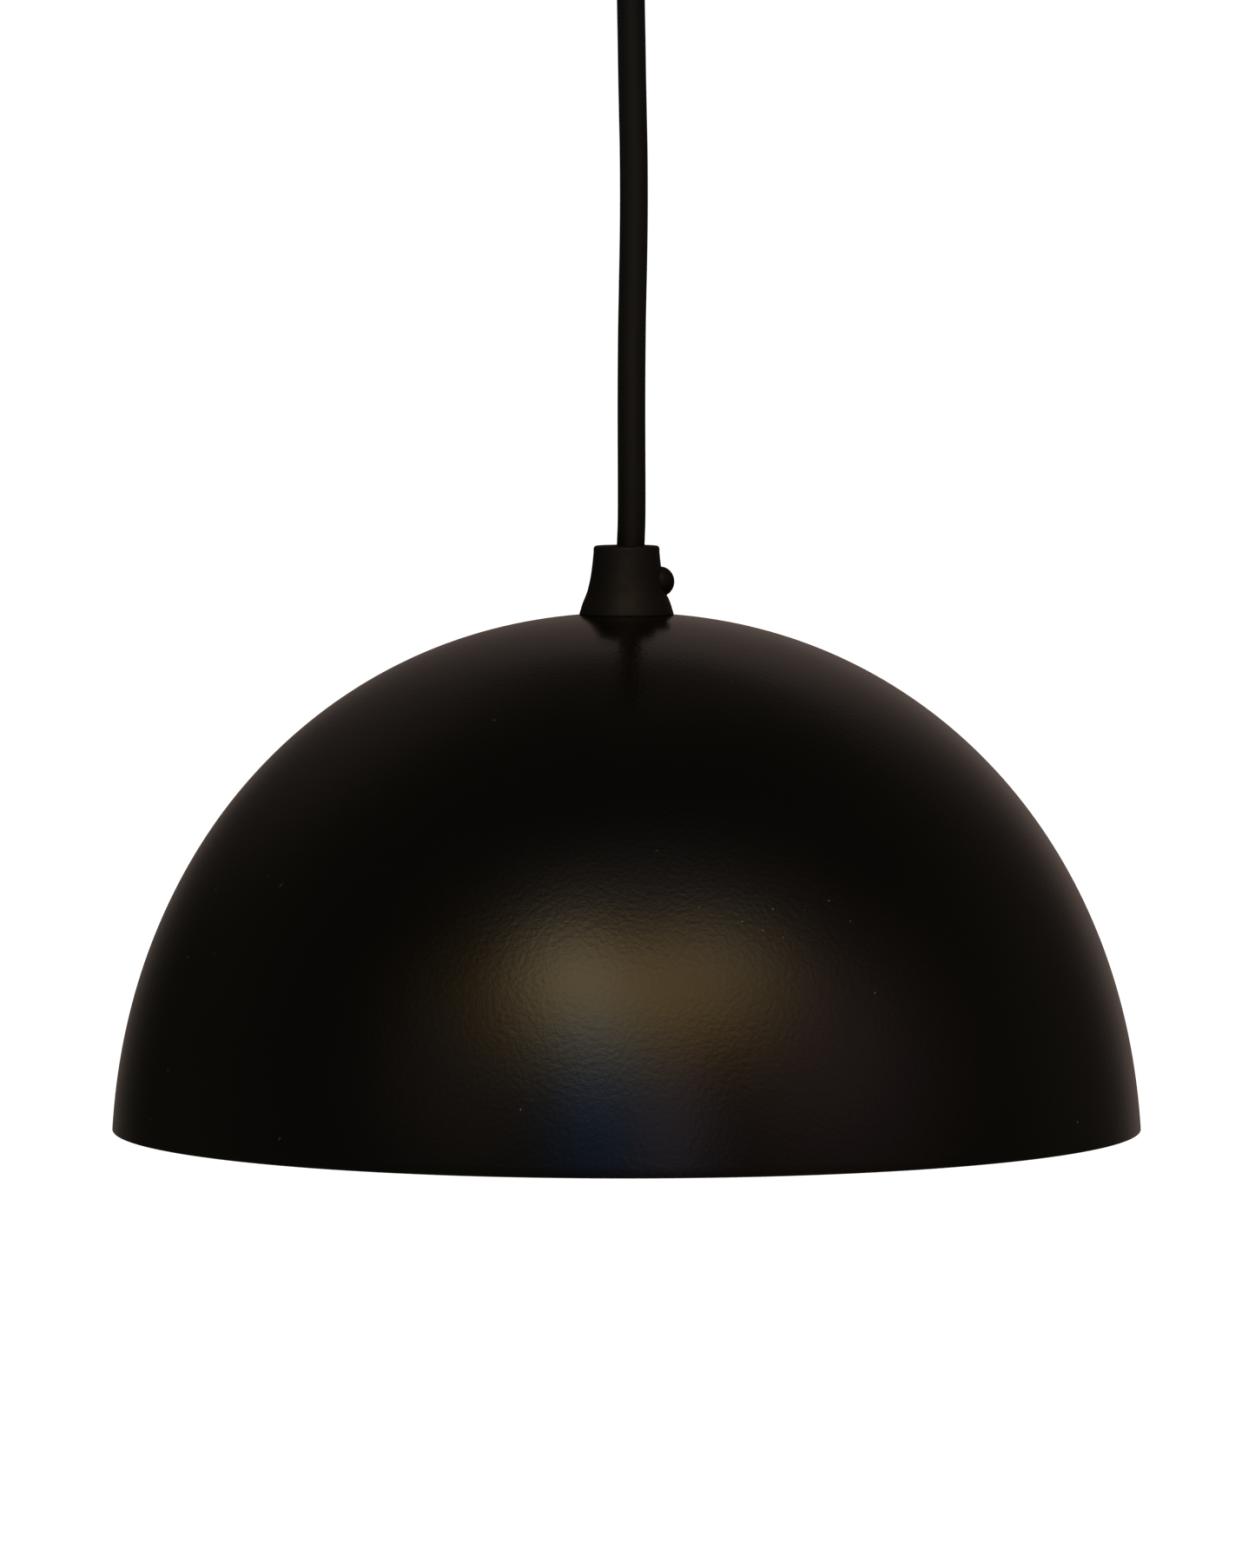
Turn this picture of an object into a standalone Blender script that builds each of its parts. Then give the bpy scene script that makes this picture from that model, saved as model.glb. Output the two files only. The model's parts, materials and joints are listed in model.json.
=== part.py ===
"""A pendant ceiling light: a spun dome shade on a round cord, hung from a small ceiling canopy.

Units are metres. The ceiling is the plane z = 0, the light hangs below it on the Z axis, and +X is the side
that the two cord grips' clamp screws are on. Moving groups hang from empties that stand on their joints.
"""

import math

import bmesh
import bpy
from mathutils import Matrix, Vector

# ---------------------------------------------------------------- driving dimensions
GAP = 0.0003  # between pieces that touch
SLACK = 0.00025  # radial play where a thread would be

# The cord, and the two equal bell-shaped grips that hold its ends.
CORD_RADIUS = 0.0034
TAIL_RADIUS = 0.0033  # of its gripped ends
CORE_RADIUS = 0.00095  # of the three insulated cores inside it
CORD_SPAN = 0.141  # between the two grips' mouths
CORD_OFFSET = 0.00095  # the cord lies this far from the axis in each grip
GRIP_HEIGHT = 0.01635
GRIP_NECK = 0.00775
GRIP_FLARE = 0.00529
GRIP_FLARE_LENGTH = 0.0051
GRIP_FOOT_RADIUS = 0.0115
GRIP_FOOT_HEIGHT = 0.0024
GRIP_CORNER = 0.0008
GRIP_BORE = 0.0045
GRIP_MOUTH_RADIUS = 0.006
GRIP_MOUTH_DEPTH = 0.0018
GRIP_PIVOT_DEPTH = 0.001  # the cord bends this far inside a grip's mouth
GRIP_THREAD_DEPTH = 0.0054
GRIP_SCREW_HEIGHT = 0.0076
GRIP_SCREW_SEAT = 0.0085
GRIP_SCREW_HEAD = 0.0037
GRIP_SCREW_DOME = 0.00315
GRIP_SCREW_TIP = 0.0042  # distance from the axis, just clear of the cord
CORD_END_CLEARANCE = 0.0019  # lets the cord's square end turn without meeting the piece inside

# The M10 nipples with their nuts and washers.
NIPPLE_RADIUS = 0.00485
NIPPLE_BORE = 0.0042
THREAD_HOLE = NIPPLE_RADIUS + SLACK
NUT_ACROSS_CORNERS = 0.00808
NUT_HEIGHT = 0.003
WASHER_RADIUS = 0.009
WASHER_HEIGHT = 0.0008

# The ceiling canopy.
BRACKET_THICK = 0.0015
BRACKET_WIDTH = 0.018
BRACKET_HALF = 0.0469
BRACKET_DROP = 0.014
BRACKET_BEND = 0.0025
SLOT_X = 0.026
SLOT_LENGTH = 0.022
SLOT_WIDTH = 0.0052
EARTH_SCREW_X = 0.0095
CUP_RADIUS = 0.05
CUP_WALL = 0.001
CUP_CORNER = 0.006
CUP_TOP_Z = -0.0005
CUP_HEIGHT = 0.027
CUP_BOTTOM_Z = CUP_TOP_Z - CUP_HEIGHT
SIDE_SCREW_Z = -0.007
SIDE_SCREW_RADIUS = 0.0018
SIDE_SLOT_WIDTH = 0.0046

# The dome shade: a superellipse whose centre is a little below the rim.
SHADE_RADIUS = 0.125
SHADE_HEIGHT = 0.125
SHADE_WALL = 0.0008
DOME_HALF_HEIGHT = 0.1368
DOME_CENTRE = -0.0115
DOME_POWER = 2.09
DOME_POINTS = 14
SEAT_RADIUS = 0.0098

# The lampholder and the golf-ball lamp in it, as depths below the shade's inner top.
HOLDER_RADIUS = 0.0198
HOLDER_WALL = 0.0018
HOLDER_MOUTH = 0.0585
INSERT_RADIUS = 0.0172
SOCKET_RADIUS = 0.0151
CONTACT_SHELL_WALL = 0.0005
LAMP_GLOBE_RADIUS = 0.0225
LAMP_NECK_RADIUS = 0.0188
LAMP_LENGTH = 0.0776
LAMP_CAP_RADIUS = 0.0131

# Heights that follow from the above.
CANOPY_GRIP_Z = CUP_BOTTOM_Z - GAP
CANOPY_MOUTH_Z = CANOPY_GRIP_Z - GRIP_HEIGHT
SHADE_MOUTH_Z = CANOPY_MOUTH_Z - CORD_SPAN
SHADE_GRIP_Z = SHADE_MOUTH_Z - GRIP_HEIGHT
SHADE_TOP_Z = SHADE_GRIP_Z - GAP
SHADE_RIM_Z = SHADE_TOP_Z - SHADE_HEIGHT
SHADE_INNER_Z = SHADE_TOP_Z - SHADE_WALL
HOLDER_TOP_Z = SHADE_INNER_Z - 0.0052
HOLDER_NECK_Z = HOLDER_TOP_Z - 0.0078
HOLDER_SEAM_Z = SHADE_INNER_Z - 0.026
HOLDER_MOUTH_Z = SHADE_INNER_Z - HOLDER_MOUTH
INSERT_TOP_Z = SHADE_INNER_Z - 0.0235
INSERT_BOTTOM_Z = SHADE_INNER_Z - 0.0335
CONTACT_Z = INSERT_BOTTOM_Z - 0.0016  # the face that the lamp's own contact meets
NIPPLE_END_Z = SHADE_INNER_Z - 0.0125
TERMINAL_X = 0.0095
CORD_PIVOT = Vector((CORD_OFFSET, 0, CANOPY_MOUTH_Z + GRIP_PIVOT_DEPTH))
SHADE_PIVOT = Vector((CORD_OFFSET, 0, SHADE_MOUTH_Z - GRIP_PIVOT_DEPTH))

# The cord's route between its two pivots: (height above the lower mouth, x, y).
CORD_ROUTE = [
    (-GRIP_PIVOT_DEPTH, CORD_OFFSET, 0.0),
    (0.0020, 0.00108, 0.0),
    (0.0065, 0.00122, 0.0),
    (0.0150, 0.00124, 0.00005),
    (0.0260, 0.00120, 0.00010),
    (0.0360, 0.00119, 0.00020),
    (0.0450, 0.00123, 0.00030),
    (0.0540, 0.00133, 0.00040),
    (0.0620, 0.00148, 0.00045),
    (0.0700, 0.00164, 0.00050),
    (0.0780, 0.00175, 0.00050),
    (0.0860, 0.00178, 0.00045),
    (0.0950, 0.00172, 0.00035),
    (0.1040, 0.00154, 0.00025),
    (0.1130, 0.00136, 0.00015),
    (0.1220, 0.00122, 0.00005),
    (0.1310, 0.00106, 0.0),
    (0.1370, 0.00098, 0.0),
    (CORD_SPAN + GRIP_PIVOT_DEPTH, CORD_OFFSET, 0.0),
]

# Sides of a turned piece.
LARGE_ROUND = 48
ROUND = 28
SMALL_ROUND = 14
TINY_ROUND = 10


# ---------------------------------------------------------------- scene and materials
def clear_scene():
    for obj in list(bpy.data.objects):
        bpy.data.objects.remove(obj, do_unlink=True)


def new_collection(name):
    collection = bpy.data.collections.new(name)
    bpy.context.scene.collection.children.link(collection)
    return collection


def own_material(name, finish):
    """A material for one piece, from a finish's colour, roughness and metallic value."""
    colour, roughness, metallic = finish
    material = bpy.data.materials.new(name)
    material.use_nodes = True
    shader = material.node_tree.nodes["Principled BSDF"]
    shader.inputs["Base Color"].default_value = (*colour, 1.0)
    shader.inputs["Roughness"].default_value = roughness
    shader.inputs["Metallic"].default_value = metallic
    material.diffuse_color = (*colour, 1.0)
    return material


clear_scene()
PARTS = new_collection("Pendant ceiling light")
CUTTERS = new_collection("Cutters")
CUTTERS.hide_render = True

# Finishes: colour, roughness, metallic.
BLACK_PAINT = ((0.010, 0.009, 0.008), 0.38, 0.0)
BLACK_PLASTIC = ((0.016, 0.014, 0.012), 0.55, 0.0)
BLACK_SHEATH = ((0.009, 0.009, 0.009), 0.45, 0.0)
BLACK_SCREW = ((0.008, 0.008, 0.008), 0.30, 0.0)
BLACK_GLASS = ((0.012, 0.012, 0.014), 0.15, 0.0)
ZINC = ((0.55, 0.55, 0.56), 0.35, 1.0)
BRASS = ((0.78, 0.57, 0.25), 0.30, 1.0)
CERAMIC = ((0.82, 0.80, 0.74), 0.40, 0.0)
WHITE_PLASTIC = ((0.80, 0.80, 0.78), 0.45, 0.0)
OPAL = ((0.90, 0.89, 0.86), 0.25, 0.0)
BROWN_WIRE = ((0.13, 0.045, 0.02), 0.45, 0.0)
BLUE_WIRE = ((0.02, 0.10, 0.42), 0.45, 0.0)
EARTH_WIRE = ((0.30, 0.45, 0.04), 0.45, 0.0)


# ---------------------------------------------------------------- shape helpers
def add(name, data, look=None, cutter=False):
    obj = bpy.data.objects.new(name, data)
    (CUTTERS if cutter else PARTS).objects.link(obj)
    if cutter:
        obj.hide_render = True
        obj.display_type = "WIRE"
    if look is not None:
        data.materials.append(own_material(name, look))
    return obj


def place(obj, at=(0, 0, 0), axis=(0, 0, 1)):
    """Puts obj's origin at a point, with its own Z along axis."""
    turn = Vector((0, 0, 1)).rotation_difference(Vector(axis))
    obj.matrix_world = Matrix.Translation(Vector(at)) @ turn.to_matrix().to_4x4()
    return obj


def hang_on(parent, *objects):
    """Parents objects to an empty and leaves them where they are."""
    for obj in objects:
        obj.parent = parent
        obj.matrix_parent_inverse = parent.matrix_world.inverted()


def joint_empty(name, at):
    empty = bpy.data.objects.new(name, None)
    PARTS.objects.link(empty)
    empty.location = at
    bpy.context.view_layer.update()
    return empty


def turned(name, outline, look=None, sides=ROUND, closed=True, cutter=False):
    """Turns (radius, height) points about Z. They run down the outer side and, if closed, back up a bore."""
    mesh = bpy.data.meshes.new(name)
    last = len(outline) - 1
    edges = [(i, i + 1) for i in range(last)] + ([(last, 0)] if closed else [])
    mesh.from_pydata([(radius, 0, height) for radius, height in outline], edges, [])
    obj = add(name, mesh, look, cutter)
    screw = obj.modifiers.new("Turn", "SCREW")
    screw.axis = "Z"
    screw.angle = math.tau
    screw.steps = screw.render_steps = sides
    screw.use_merge_vertices = True
    screw.merge_threshold = 0.00001
    screw.use_smooth_shade = True
    return obj


def tube(name, outer, inner, top, bottom, look, sides=ROUND):
    outline = [(outer, top), (outer, bottom), (inner, bottom), (inner, top)]
    return turned(name, outline, look, sides)


def drill(name, radius, length, at, axis=(0, 0, 1)):
    """A round cutter, centred on a point."""
    half = length / 2
    outline = [(0, half), (radius, half), (radius, -half), (0, -half)]
    cutter = turned(name, outline, None, SMALL_ROUND, closed=False, cutter=True)
    return place(cutter, at, axis)


def box(name, size, look=None, cutter=False):
    mesh = bpy.data.meshes.new(name)
    shape = bmesh.new()
    bmesh.ops.create_cube(shape, size=1.0, matrix=Matrix.Diagonal((*size, 1.0)))
    shape.to_mesh(mesh)
    shape.free()
    return add(name, mesh, look, cutter)


def stadium(name, length, width, depth, cutter=True):
    """A prism with round ends: a cylinder whose two halves are moved apart along X."""
    mesh = bpy.data.meshes.new(name)
    shape = bmesh.new()
    bmesh.ops.create_cone(
        shape, cap_ends=True, segments=18, radius1=width / 2, radius2=width / 2, depth=depth
    )
    for vertex in shape.verts:
        vertex.co.x += math.copysign((length - width) / 2, vertex.co.x)
    shape.to_mesh(mesh)
    shape.free()
    return add(name, mesh, None, cutter)


def cut(obj, *cutters):
    for cutter in cutters:
        boolean = obj.modifiers.new("Cut", "BOOLEAN")
        boolean.operation = "DIFFERENCE"
        boolean.solver = "EXACT"
        boolean.object = cutter


def arc(centre, radius, start, end, steps):
    """Points on an arc from start to end, in degrees."""
    angles = [math.radians(start + (end - start) * i / steps) for i in range(steps + 1)]
    return [(centre[0] + radius * math.cos(a), centre[1] + radius * math.sin(a)) for a in angles]


def ring_points(radius, count):
    return arc((0, 0), radius, 0, 360, count)[:-1]


def plate(name, loops, thickness, look):
    """A flat piece from closed outlines, the first its edge and the others its holes."""
    curve = bpy.data.curves.new(name, "CURVE")
    curve.dimensions = "2D"
    curve.fill_mode = "BOTH"
    curve.extrude = thickness / 2
    for loop in loops:
        spline = curve.splines.new("POLY")
        spline.points.add(len(loop) - 1)
        spline.use_cyclic_u = True
        for point, (x, y) in zip(spline.points, loop):
            point.co = (x, y, 0, 1)
    return add(name, curve, look)


def smooth_route(points, spacing):
    """Points about spacing apart on the Catmull-Rom curve through a route's own points."""
    points = [Vector(p) for p in points]
    ends = [2 * points[0] - points[1], *points, 2 * points[-1] - points[-2]]
    made = [points[0]]
    for before, a, b, after in zip(ends, ends[1:], ends[2:], ends[3:]):
        steps = max(1, round((b - a).length / spacing))
        for i in range(1, steps + 1):
            t = i / steps
            made.append(
                0.5
                * (
                    2 * a
                    + (b - before) * t
                    + (2 * before - 5 * a + 4 * b - after) * t**2
                    + (3 * a - before - 3 * b + after) * t**3
                )
            )
    return made


def evenly(points, spacing):
    """The same line with its points about spacing apart."""
    lengths = [(b - a).length for a, b in zip(points, points[1:])]
    count = max(2, round(sum(lengths) / spacing))
    made, walked, i = [points[0]], 0.0, 0
    for k in range(1, count):
        target = sum(lengths) * k / count
        while walked + lengths[i] < target:
            walked += lengths[i]
            i += 1
        made.append(points[i].lerp(points[i + 1], (target - walked) / lengths[i]))
    return [*made, points[-1]]


def flex(name, route, radius, look, spacing):
    """A round cord or wire along a route."""
    curve = bpy.data.curves.new(name, "CURVE")
    curve.dimensions = "3D"
    curve.bevel_depth = radius
    curve.bevel_resolution = 2
    curve.use_fill_caps = True
    line = evenly(smooth_route(route, radius / 2), spacing)
    spline = curve.splines.new("POLY")
    spline.points.add(len(line) - 1)
    for point, place_on_route in zip(spline.points, line):
        point.co = (*place_on_route, 1)
    return add(name, curve, look)


# ---------------------------------------------------------------- small hardware
def pan_screw(name, head, dome, shank, length, look, sides=SMALL_ROUND):
    """A slotted pan-head screw. Its origin is under the head, which points along +Z."""
    tip = shank * 0.7
    outline = [(0, dome), (head * 0.5, dome * 0.95), (head * 0.83, dome * 0.74), (head, dome * 0.4)]
    outline += [(head, 0), (shank, 0), (shank, tip - length), (tip, -length), (0, -length)]
    screw = turned(name, outline, look, sides, closed=False)
    slot = box(name + "_slot", (head * 2.4, head * 0.28, dome * 0.8), cutter=True)
    slot.location = (0, 0, dome)
    slot.parent = screw
    cut(screw, slot)
    return screw


def hex_nut(name):
    edge, hole = ring_points(NUT_ACROSS_CORNERS, 6), ring_points(THREAD_HOLE, 20)
    return plate(name, [edge, hole], NUT_HEIGHT, ZINC)


def washer(name):
    edge, hole = ring_points(WASHER_RADIUS, 24), ring_points(THREAD_HOLE, 20)
    return plate(name, [edge, hole], WASHER_HEIGHT, ZINC)


def earth_tag(name, reach):
    """A ring with a narrow lug that a wire is fixed to. The lug points along +X."""
    lug, ring = 0.0016, 0.0076
    side = math.degrees(math.asin(lug / ring))
    edge = [*arc((0, 0), ring, side, 360 - side, 20), (reach, -lug), (reach, lug)]
    return plate(name, [edge, ring_points(THREAD_HOLE, 20)], WASHER_HEIGHT, BRASS)


# ---------------------------------------------------------------- cord grip
def grip_outline():
    """The bell outside, the cord's bore and the nipple's thread inside, foot down at height 0."""
    top = GRIP_HEIGHT
    neck_top = top - 2 * GRIP_CORNER
    steps = 7
    heights = [neck_top + (GRIP_FOOT_HEIGHT - neck_top) * i / steps for i in range(steps + 1)]
    flare = [(GRIP_NECK + GRIP_FLARE * math.exp(-z / GRIP_FLARE_LENGTH), z) for z in heights]
    corner = arc((flare[0][0] - GRIP_CORNER, top - GRIP_CORNER), GRIP_CORNER, 90, 0, 2)
    return [
        (GRIP_MOUTH_RADIUS, top),
        *corner,
        *flare,
        (GRIP_FOOT_RADIUS - 0.0001, GRIP_FOOT_HEIGHT / 2),
        (GRIP_FOOT_RADIUS, 0),
        (THREAD_HOLE, 0),
        (THREAD_HOLE, GRIP_THREAD_DEPTH),
        (GRIP_BORE, GRIP_THREAD_DEPTH),
        (GRIP_BORE, top - GRIP_MOUTH_DEPTH),
    ]


def grip(name, foot_z, up):
    """A cord grip with its foot at foot_z, its neck up or down, and its screw hole at +X."""
    body = turned(name, grip_outline(), BLACK_PLASTIC, ROUND)
    seat = GRIP_SCREW_SEAT - GAP
    hole = SIDE_SCREW_RADIUS + SLACK
    pocket = GRIP_SCREW_HEAD + GAP
    far, near = GRIP_FOOT_RADIUS + 0.002, 0.002
    outline = [(0, far), (pocket, far), (pocket, seat), (hole, seat), (hole, near), (0, near)]
    cutter = turned(name + "_screw_hole", outline, None, SMALL_ROUND, closed=False, cutter=True)
    way = 1 if up else -1
    place(body, (0, 0, foot_z), (0, 0, way))
    place(cutter, (0, 0, foot_z + way * GRIP_SCREW_HEIGHT), (1, 0, 0))
    cut(body, cutter)
    return body


def grip_screw(name, foot_z, up):
    way = 1 if up else -1
    reach = GRIP_SCREW_SEAT - GRIP_SCREW_TIP
    shape = (GRIP_SCREW_HEAD, GRIP_SCREW_DOME, SIDE_SCREW_RADIUS, reach)
    screw = pan_screw(name, *shape, BLACK_SCREW, 18)
    return place(screw, (GRIP_SCREW_SEAT, 0, foot_z + way * GRIP_SCREW_HEIGHT), (1, 0, 0))


# ---------------------------------------------------------------- ceiling canopy
def ceiling_bracket():
    """A bent steel strap with two slots for ceiling screws and a threaded lug at each end."""
    middle = -BRACKET_THICK / 2
    screw_hole = SIDE_SCREW_RADIUS + SLACK
    bend = BRACKET_HALF - BRACKET_BEND
    right = [(BRACKET_HALF, -BRACKET_DROP)]
    right += arc((bend, middle - BRACKET_BEND), BRACKET_BEND, 0, 90, 4)
    path = right + [(-x, z) for x, z in reversed(right)]
    mesh = bpy.data.meshes.new("ceiling_bracket")
    mesh.from_pydata(
        [(x, -BRACKET_WIDTH / 2, z) for x, z in path],
        [(i, i + 1) for i in range(len(path) - 1)],
        [],
    )
    strap = add("ceiling_bracket", mesh, ZINC)
    sweep = strap.modifiers.new("Width", "SCREW")
    sweep.axis = "Y"
    sweep.angle = 0
    sweep.screw_offset = BRACKET_WIDTH
    sweep.steps = sweep.render_steps = 1
    sheet = strap.modifiers.new("Sheet", "SOLIDIFY")
    sheet.thickness = BRACKET_THICK
    sheet.offset = 0
    sheet.use_even_offset = True
    for side in (-1, 1):
        slot = stadium(f"bracket_slot_{side}", SLOT_LENGTH, SLOT_WIDTH, 0.006)
        slot.location = (side * SLOT_X, 0, middle)
        end = (side * BRACKET_HALF, 0, SIDE_SCREW_Z)
        cut(strap, slot, drill(f"bracket_thread_{side}", screw_hole, 0.008, end, (side, 0, 0)))
    cut(strap, drill("bracket_earth_thread", screw_hole, 0.008, (EARTH_SCREW_X, 0, middle)))
    return strap


def bracket_screws():
    """The two side screws that carry the canopy, and the supply's earth screw under the strap."""
    for side, name in ((-1, "canopy_side_screw_left"), (1, "canopy_side_screw_right")):
        screw = pan_screw(name, 0.0036, 0.0032, SIDE_SCREW_RADIUS, 0.0062, BLACK_SCREW)
        place(screw, (side * (CUP_RADIUS + GAP), 0, SIDE_SCREW_Z), (side, 0, 0))
    earth = pan_screw("bracket_earth_screw", 0.0034, 0.0022, SIDE_SCREW_RADIUS, 0.0016, BRASS)
    place(earth, (EARTH_SCREW_X, 0, -BRACKET_THICK - GAP), (0, 0, -1))


def canopy_cup():
    corner = (CUP_RADIUS - CUP_CORNER, CUP_BOTTOM_Z + CUP_CORNER)
    outline = [(CUP_RADIUS, CUP_TOP_Z)]
    outline += arc(corner, CUP_CORNER, 0, -90, 4)
    outline += [(THREAD_HOLE, CUP_BOTTOM_Z), (THREAD_HOLE, CUP_BOTTOM_Z + CUP_WALL)]
    outline += arc(corner, CUP_CORNER - CUP_WALL, -90, 0, 3)
    outline += [(CUP_RADIUS - CUP_WALL, CUP_TOP_Z)]
    cup = turned("canopy_cup", outline, BLACK_PAINT, 40)
    depth = CUP_TOP_Z - SIDE_SCREW_Z + SIDE_SLOT_WIDTH / 2
    for side in (-1, 1):
        slot = box(f"cup_slot_{side}", (0.008, SIDE_SLOT_WIDTH, depth + 0.002), cutter=True)
        slot.location = (side * (CUP_RADIUS - 0.001), 0, CUP_TOP_Z + 0.001 - depth / 2)
        cut(cup, slot)
    return cup


def terminal_block(centre):
    """A three-pole connector: a moulding, a brass sleeve in each pole and two screws to a sleeve."""
    size = Vector((0.025, 0.017, 0.011))
    pole_pitch, screw_pitch = 0.008, 0.0078
    sleeve_radius, screw_radius, screw_length = 0.0021, 0.0014, 0.002
    moulding = box("terminal_block", size, WHITE_PLASTIC)
    moulding.location = centre
    pieces = [moulding]
    sleeve_z = centre.z - 0.001
    top = centre.z + size.z / 2
    for pole, pole_name in ((-1, "earth"), (0, "neutral"), (1, "live")):
        x = centre.x + pole * pole_pitch
        middle = (x, centre.y, sleeve_z)
        cut(moulding, drill(f"block_bore_{pole}", sleeve_radius + GAP, 0.02, middle, (0, 1, 0)))
        name = f"terminal_sleeve_{pole_name}"
        sleeve = tube(name, sleeve_radius, 0.0015, 0.0075, -0.0075, BRASS, TINY_ROUND)
        pieces.append(place(sleeve, middle, (0, 1, 0)))
        for end, end_name in ((-1, "lamp"), (1, "supply")):
            y = centre.y + end * screw_pitch / 2
            well = (x, y, top - 0.0022)
            cut(moulding, drill(f"block_well_{pole}_{end}", screw_radius + GAP, 0.0065, well))
            name = f"terminal_screw_{pole_name}_{end_name}"
            shape = (screw_radius, 0.0008, screw_radius * 0.98, screw_length)
            screw = pan_screw(name, *shape, BRASS, TINY_ROUND)
            pieces.append(place(screw, (x, y, sleeve_z + sleeve_radius + GAP + screw_length)))
    return pieces


def canopy_inside():
    """What the cup holds: the nipple and what clamps it, the cord's inner end and the connector."""
    floor = CUP_BOTTOM_Z + CUP_WALL
    nipple_top = floor + 0.0075
    nipple_bottom = CANOPY_GRIP_Z - GRIP_THREAD_DEPTH + 0.0004
    pieces = [tube("canopy_nipple", NIPPLE_RADIUS, NIPPLE_BORE, nipple_top, nipple_bottom, ZINC)]
    height = floor + GAP
    lock = washer("canopy_washer")
    place(lock, (0, 0, height + WASHER_HEIGHT / 2))
    height += WASHER_HEIGHT + GAP
    tag = earth_tag("canopy_earth_tag", 0.0135)
    place(tag, (0, 0, height + WASHER_HEIGHT / 2))
    tag.rotation_euler.z = math.pi
    height += WASHER_HEIGHT + GAP
    nut = hex_nut("canopy_nut")
    place(nut, (0, 0, height + NUT_HEIGHT / 2))
    pieces += [lock, tag, nut]

    sheath_end = floor + 0.0095
    tail_route = [
        (0, 0, sheath_end),
        (0, 0, floor + 0.003),
        (0.0003, 0, CANOPY_GRIP_Z - 0.004),
        (0.0007, 0, CANOPY_MOUTH_Z + 0.006),
        (CORD_OFFSET, 0, CORD_PIVOT.z + CORD_END_CLEARANCE),
    ]
    tail = flex("canopy_cord_tail", tail_route, TAIL_RADIUS, BLACK_SHEATH, 0.005)
    block = Vector((0, 0.0275, floor + 0.006))
    pieces += [tail, *terminal_block(block)]
    entry_y = block.y - 0.0085
    for pole, name, colour in ((-1, "earth", EARTH_WIRE), (0, "neutral", BLUE_WIRE), (1, "live", BROWN_WIRE)):
        x = pole * 0.008
        route = [
            (pole * 0.0021, 0, sheath_end + GAP),
            (pole * 0.0028, 0.0012, sheath_end + 0.004),
            (x * 0.75, 0.0075, sheath_end + 0.0055),
            (x, entry_y - 0.0035, block.z + 0.0025),
            (x, entry_y + 0.001, block.z - 0.001),
            (x, entry_y + 0.0045, block.z - 0.001),
        ]
        pieces.append(flex(f"canopy_core_{name}", route, CORE_RADIUS, colour, 0.0026))
    return pieces


# ---------------------------------------------------------------- shade and lampholder
def dome_point(turn, inset):
    """A point of the dome and its outward normal, at turn 0 on the axis and 1 level with the centre."""
    angle = math.radians(90 * turn)
    radius = math.sin(angle) ** (2 / DOME_POWER)
    height = math.cos(angle) ** (2 / DOME_POWER)
    scale = SHADE_RADIUS / (1 - (-DOME_CENTRE / DOME_HALF_HEIGHT) ** DOME_POWER) ** (1 / DOME_POWER)
    normal = Vector((radius ** (DOME_POWER - 1) / scale, height ** (DOME_POWER - 1) / DOME_HALF_HEIGHT))
    normal.normalize()
    point = Vector((radius * scale, height * DOME_HALF_HEIGHT)) - inset * normal
    return point.x, point.y + DOME_CENTRE


def shade():
    """The spun dome with a flat seat and a hole at its top, origin at the rim's centre."""
    rim_turn = 2 / math.pi * math.acos((-DOME_CENTRE / DOME_HALF_HEIGHT) ** (DOME_POWER / 2))
    seat_turn = 2 / math.pi * math.asin((SEAT_RADIUS / SHADE_RADIUS) ** (DOME_POWER / 2))
    turns = [seat_turn + (rim_turn - seat_turn) * i / (DOME_POINTS - 1) for i in range(DOME_POINTS)]
    outer = [dome_point(turn, 0) for turn in turns]
    inner = [dome_point(turn, SHADE_WALL) for turn in turns]
    outer[0] = (outer[0][0], SHADE_HEIGHT)
    outer[-1] = (outer[-1][0], 0.0)
    inner[0] = (inner[0][0], SHADE_HEIGHT - SHADE_WALL)
    inner[-1] = (inner[-1][0], 0.0)
    outline = [
        (THREAD_HOLE, SHADE_HEIGHT),
        *outer,
        *reversed(inner),
        (THREAD_HOLE, SHADE_HEIGHT - SHADE_WALL),
    ]
    return place(turned("shade", outline, BLACK_PAINT, LARGE_ROUND), (0, 0, SHADE_RIM_Z))


def shade_hardware():
    """The nipple through the shade's top, and the washer and nut that clamp the shade to the grip."""
    top = SHADE_GRIP_Z + GRIP_THREAD_DEPTH - 0.0004
    nipple = tube("shade_nipple", NIPPLE_RADIUS, NIPPLE_BORE, top, NIPPLE_END_Z, ZINC)
    height = SHADE_INNER_Z - GAP
    lock = washer("shade_washer")
    place(lock, (0, 0, height - WASHER_HEIGHT / 2))
    height -= WASHER_HEIGHT + GAP
    nut = hex_nut("shade_nut")
    place(nut, (0, 0, height - NUT_HEIGHT / 2))
    return [nipple, lock, nut]


def holder_cap():
    """The lampholder's domed upper cover, with the nipple's thread in its neck."""
    neck, bend = 0.0082, 0.009
    centre = (HOLDER_RADIUS - bend, HOLDER_SEAM_Z + 0.0065)
    outline = [(neck, HOLDER_TOP_Z), (neck, HOLDER_TOP_Z - 0.0045)]
    outline += arc(centre, bend, 80, 0, 4)
    outline += [(HOLDER_RADIUS, HOLDER_SEAM_Z), (HOLDER_RADIUS - HOLDER_WALL, HOLDER_SEAM_Z)]
    outline += arc(centre, bend - HOLDER_WALL, 0, 80, 4)
    outline += [(neck, HOLDER_NECK_Z), (THREAD_HOLE, HOLDER_NECK_Z), (THREAD_HOLE, HOLDER_TOP_Z)]
    return turned("holder_cap", outline, BLACK_PLASTIC, ROUND)


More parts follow.
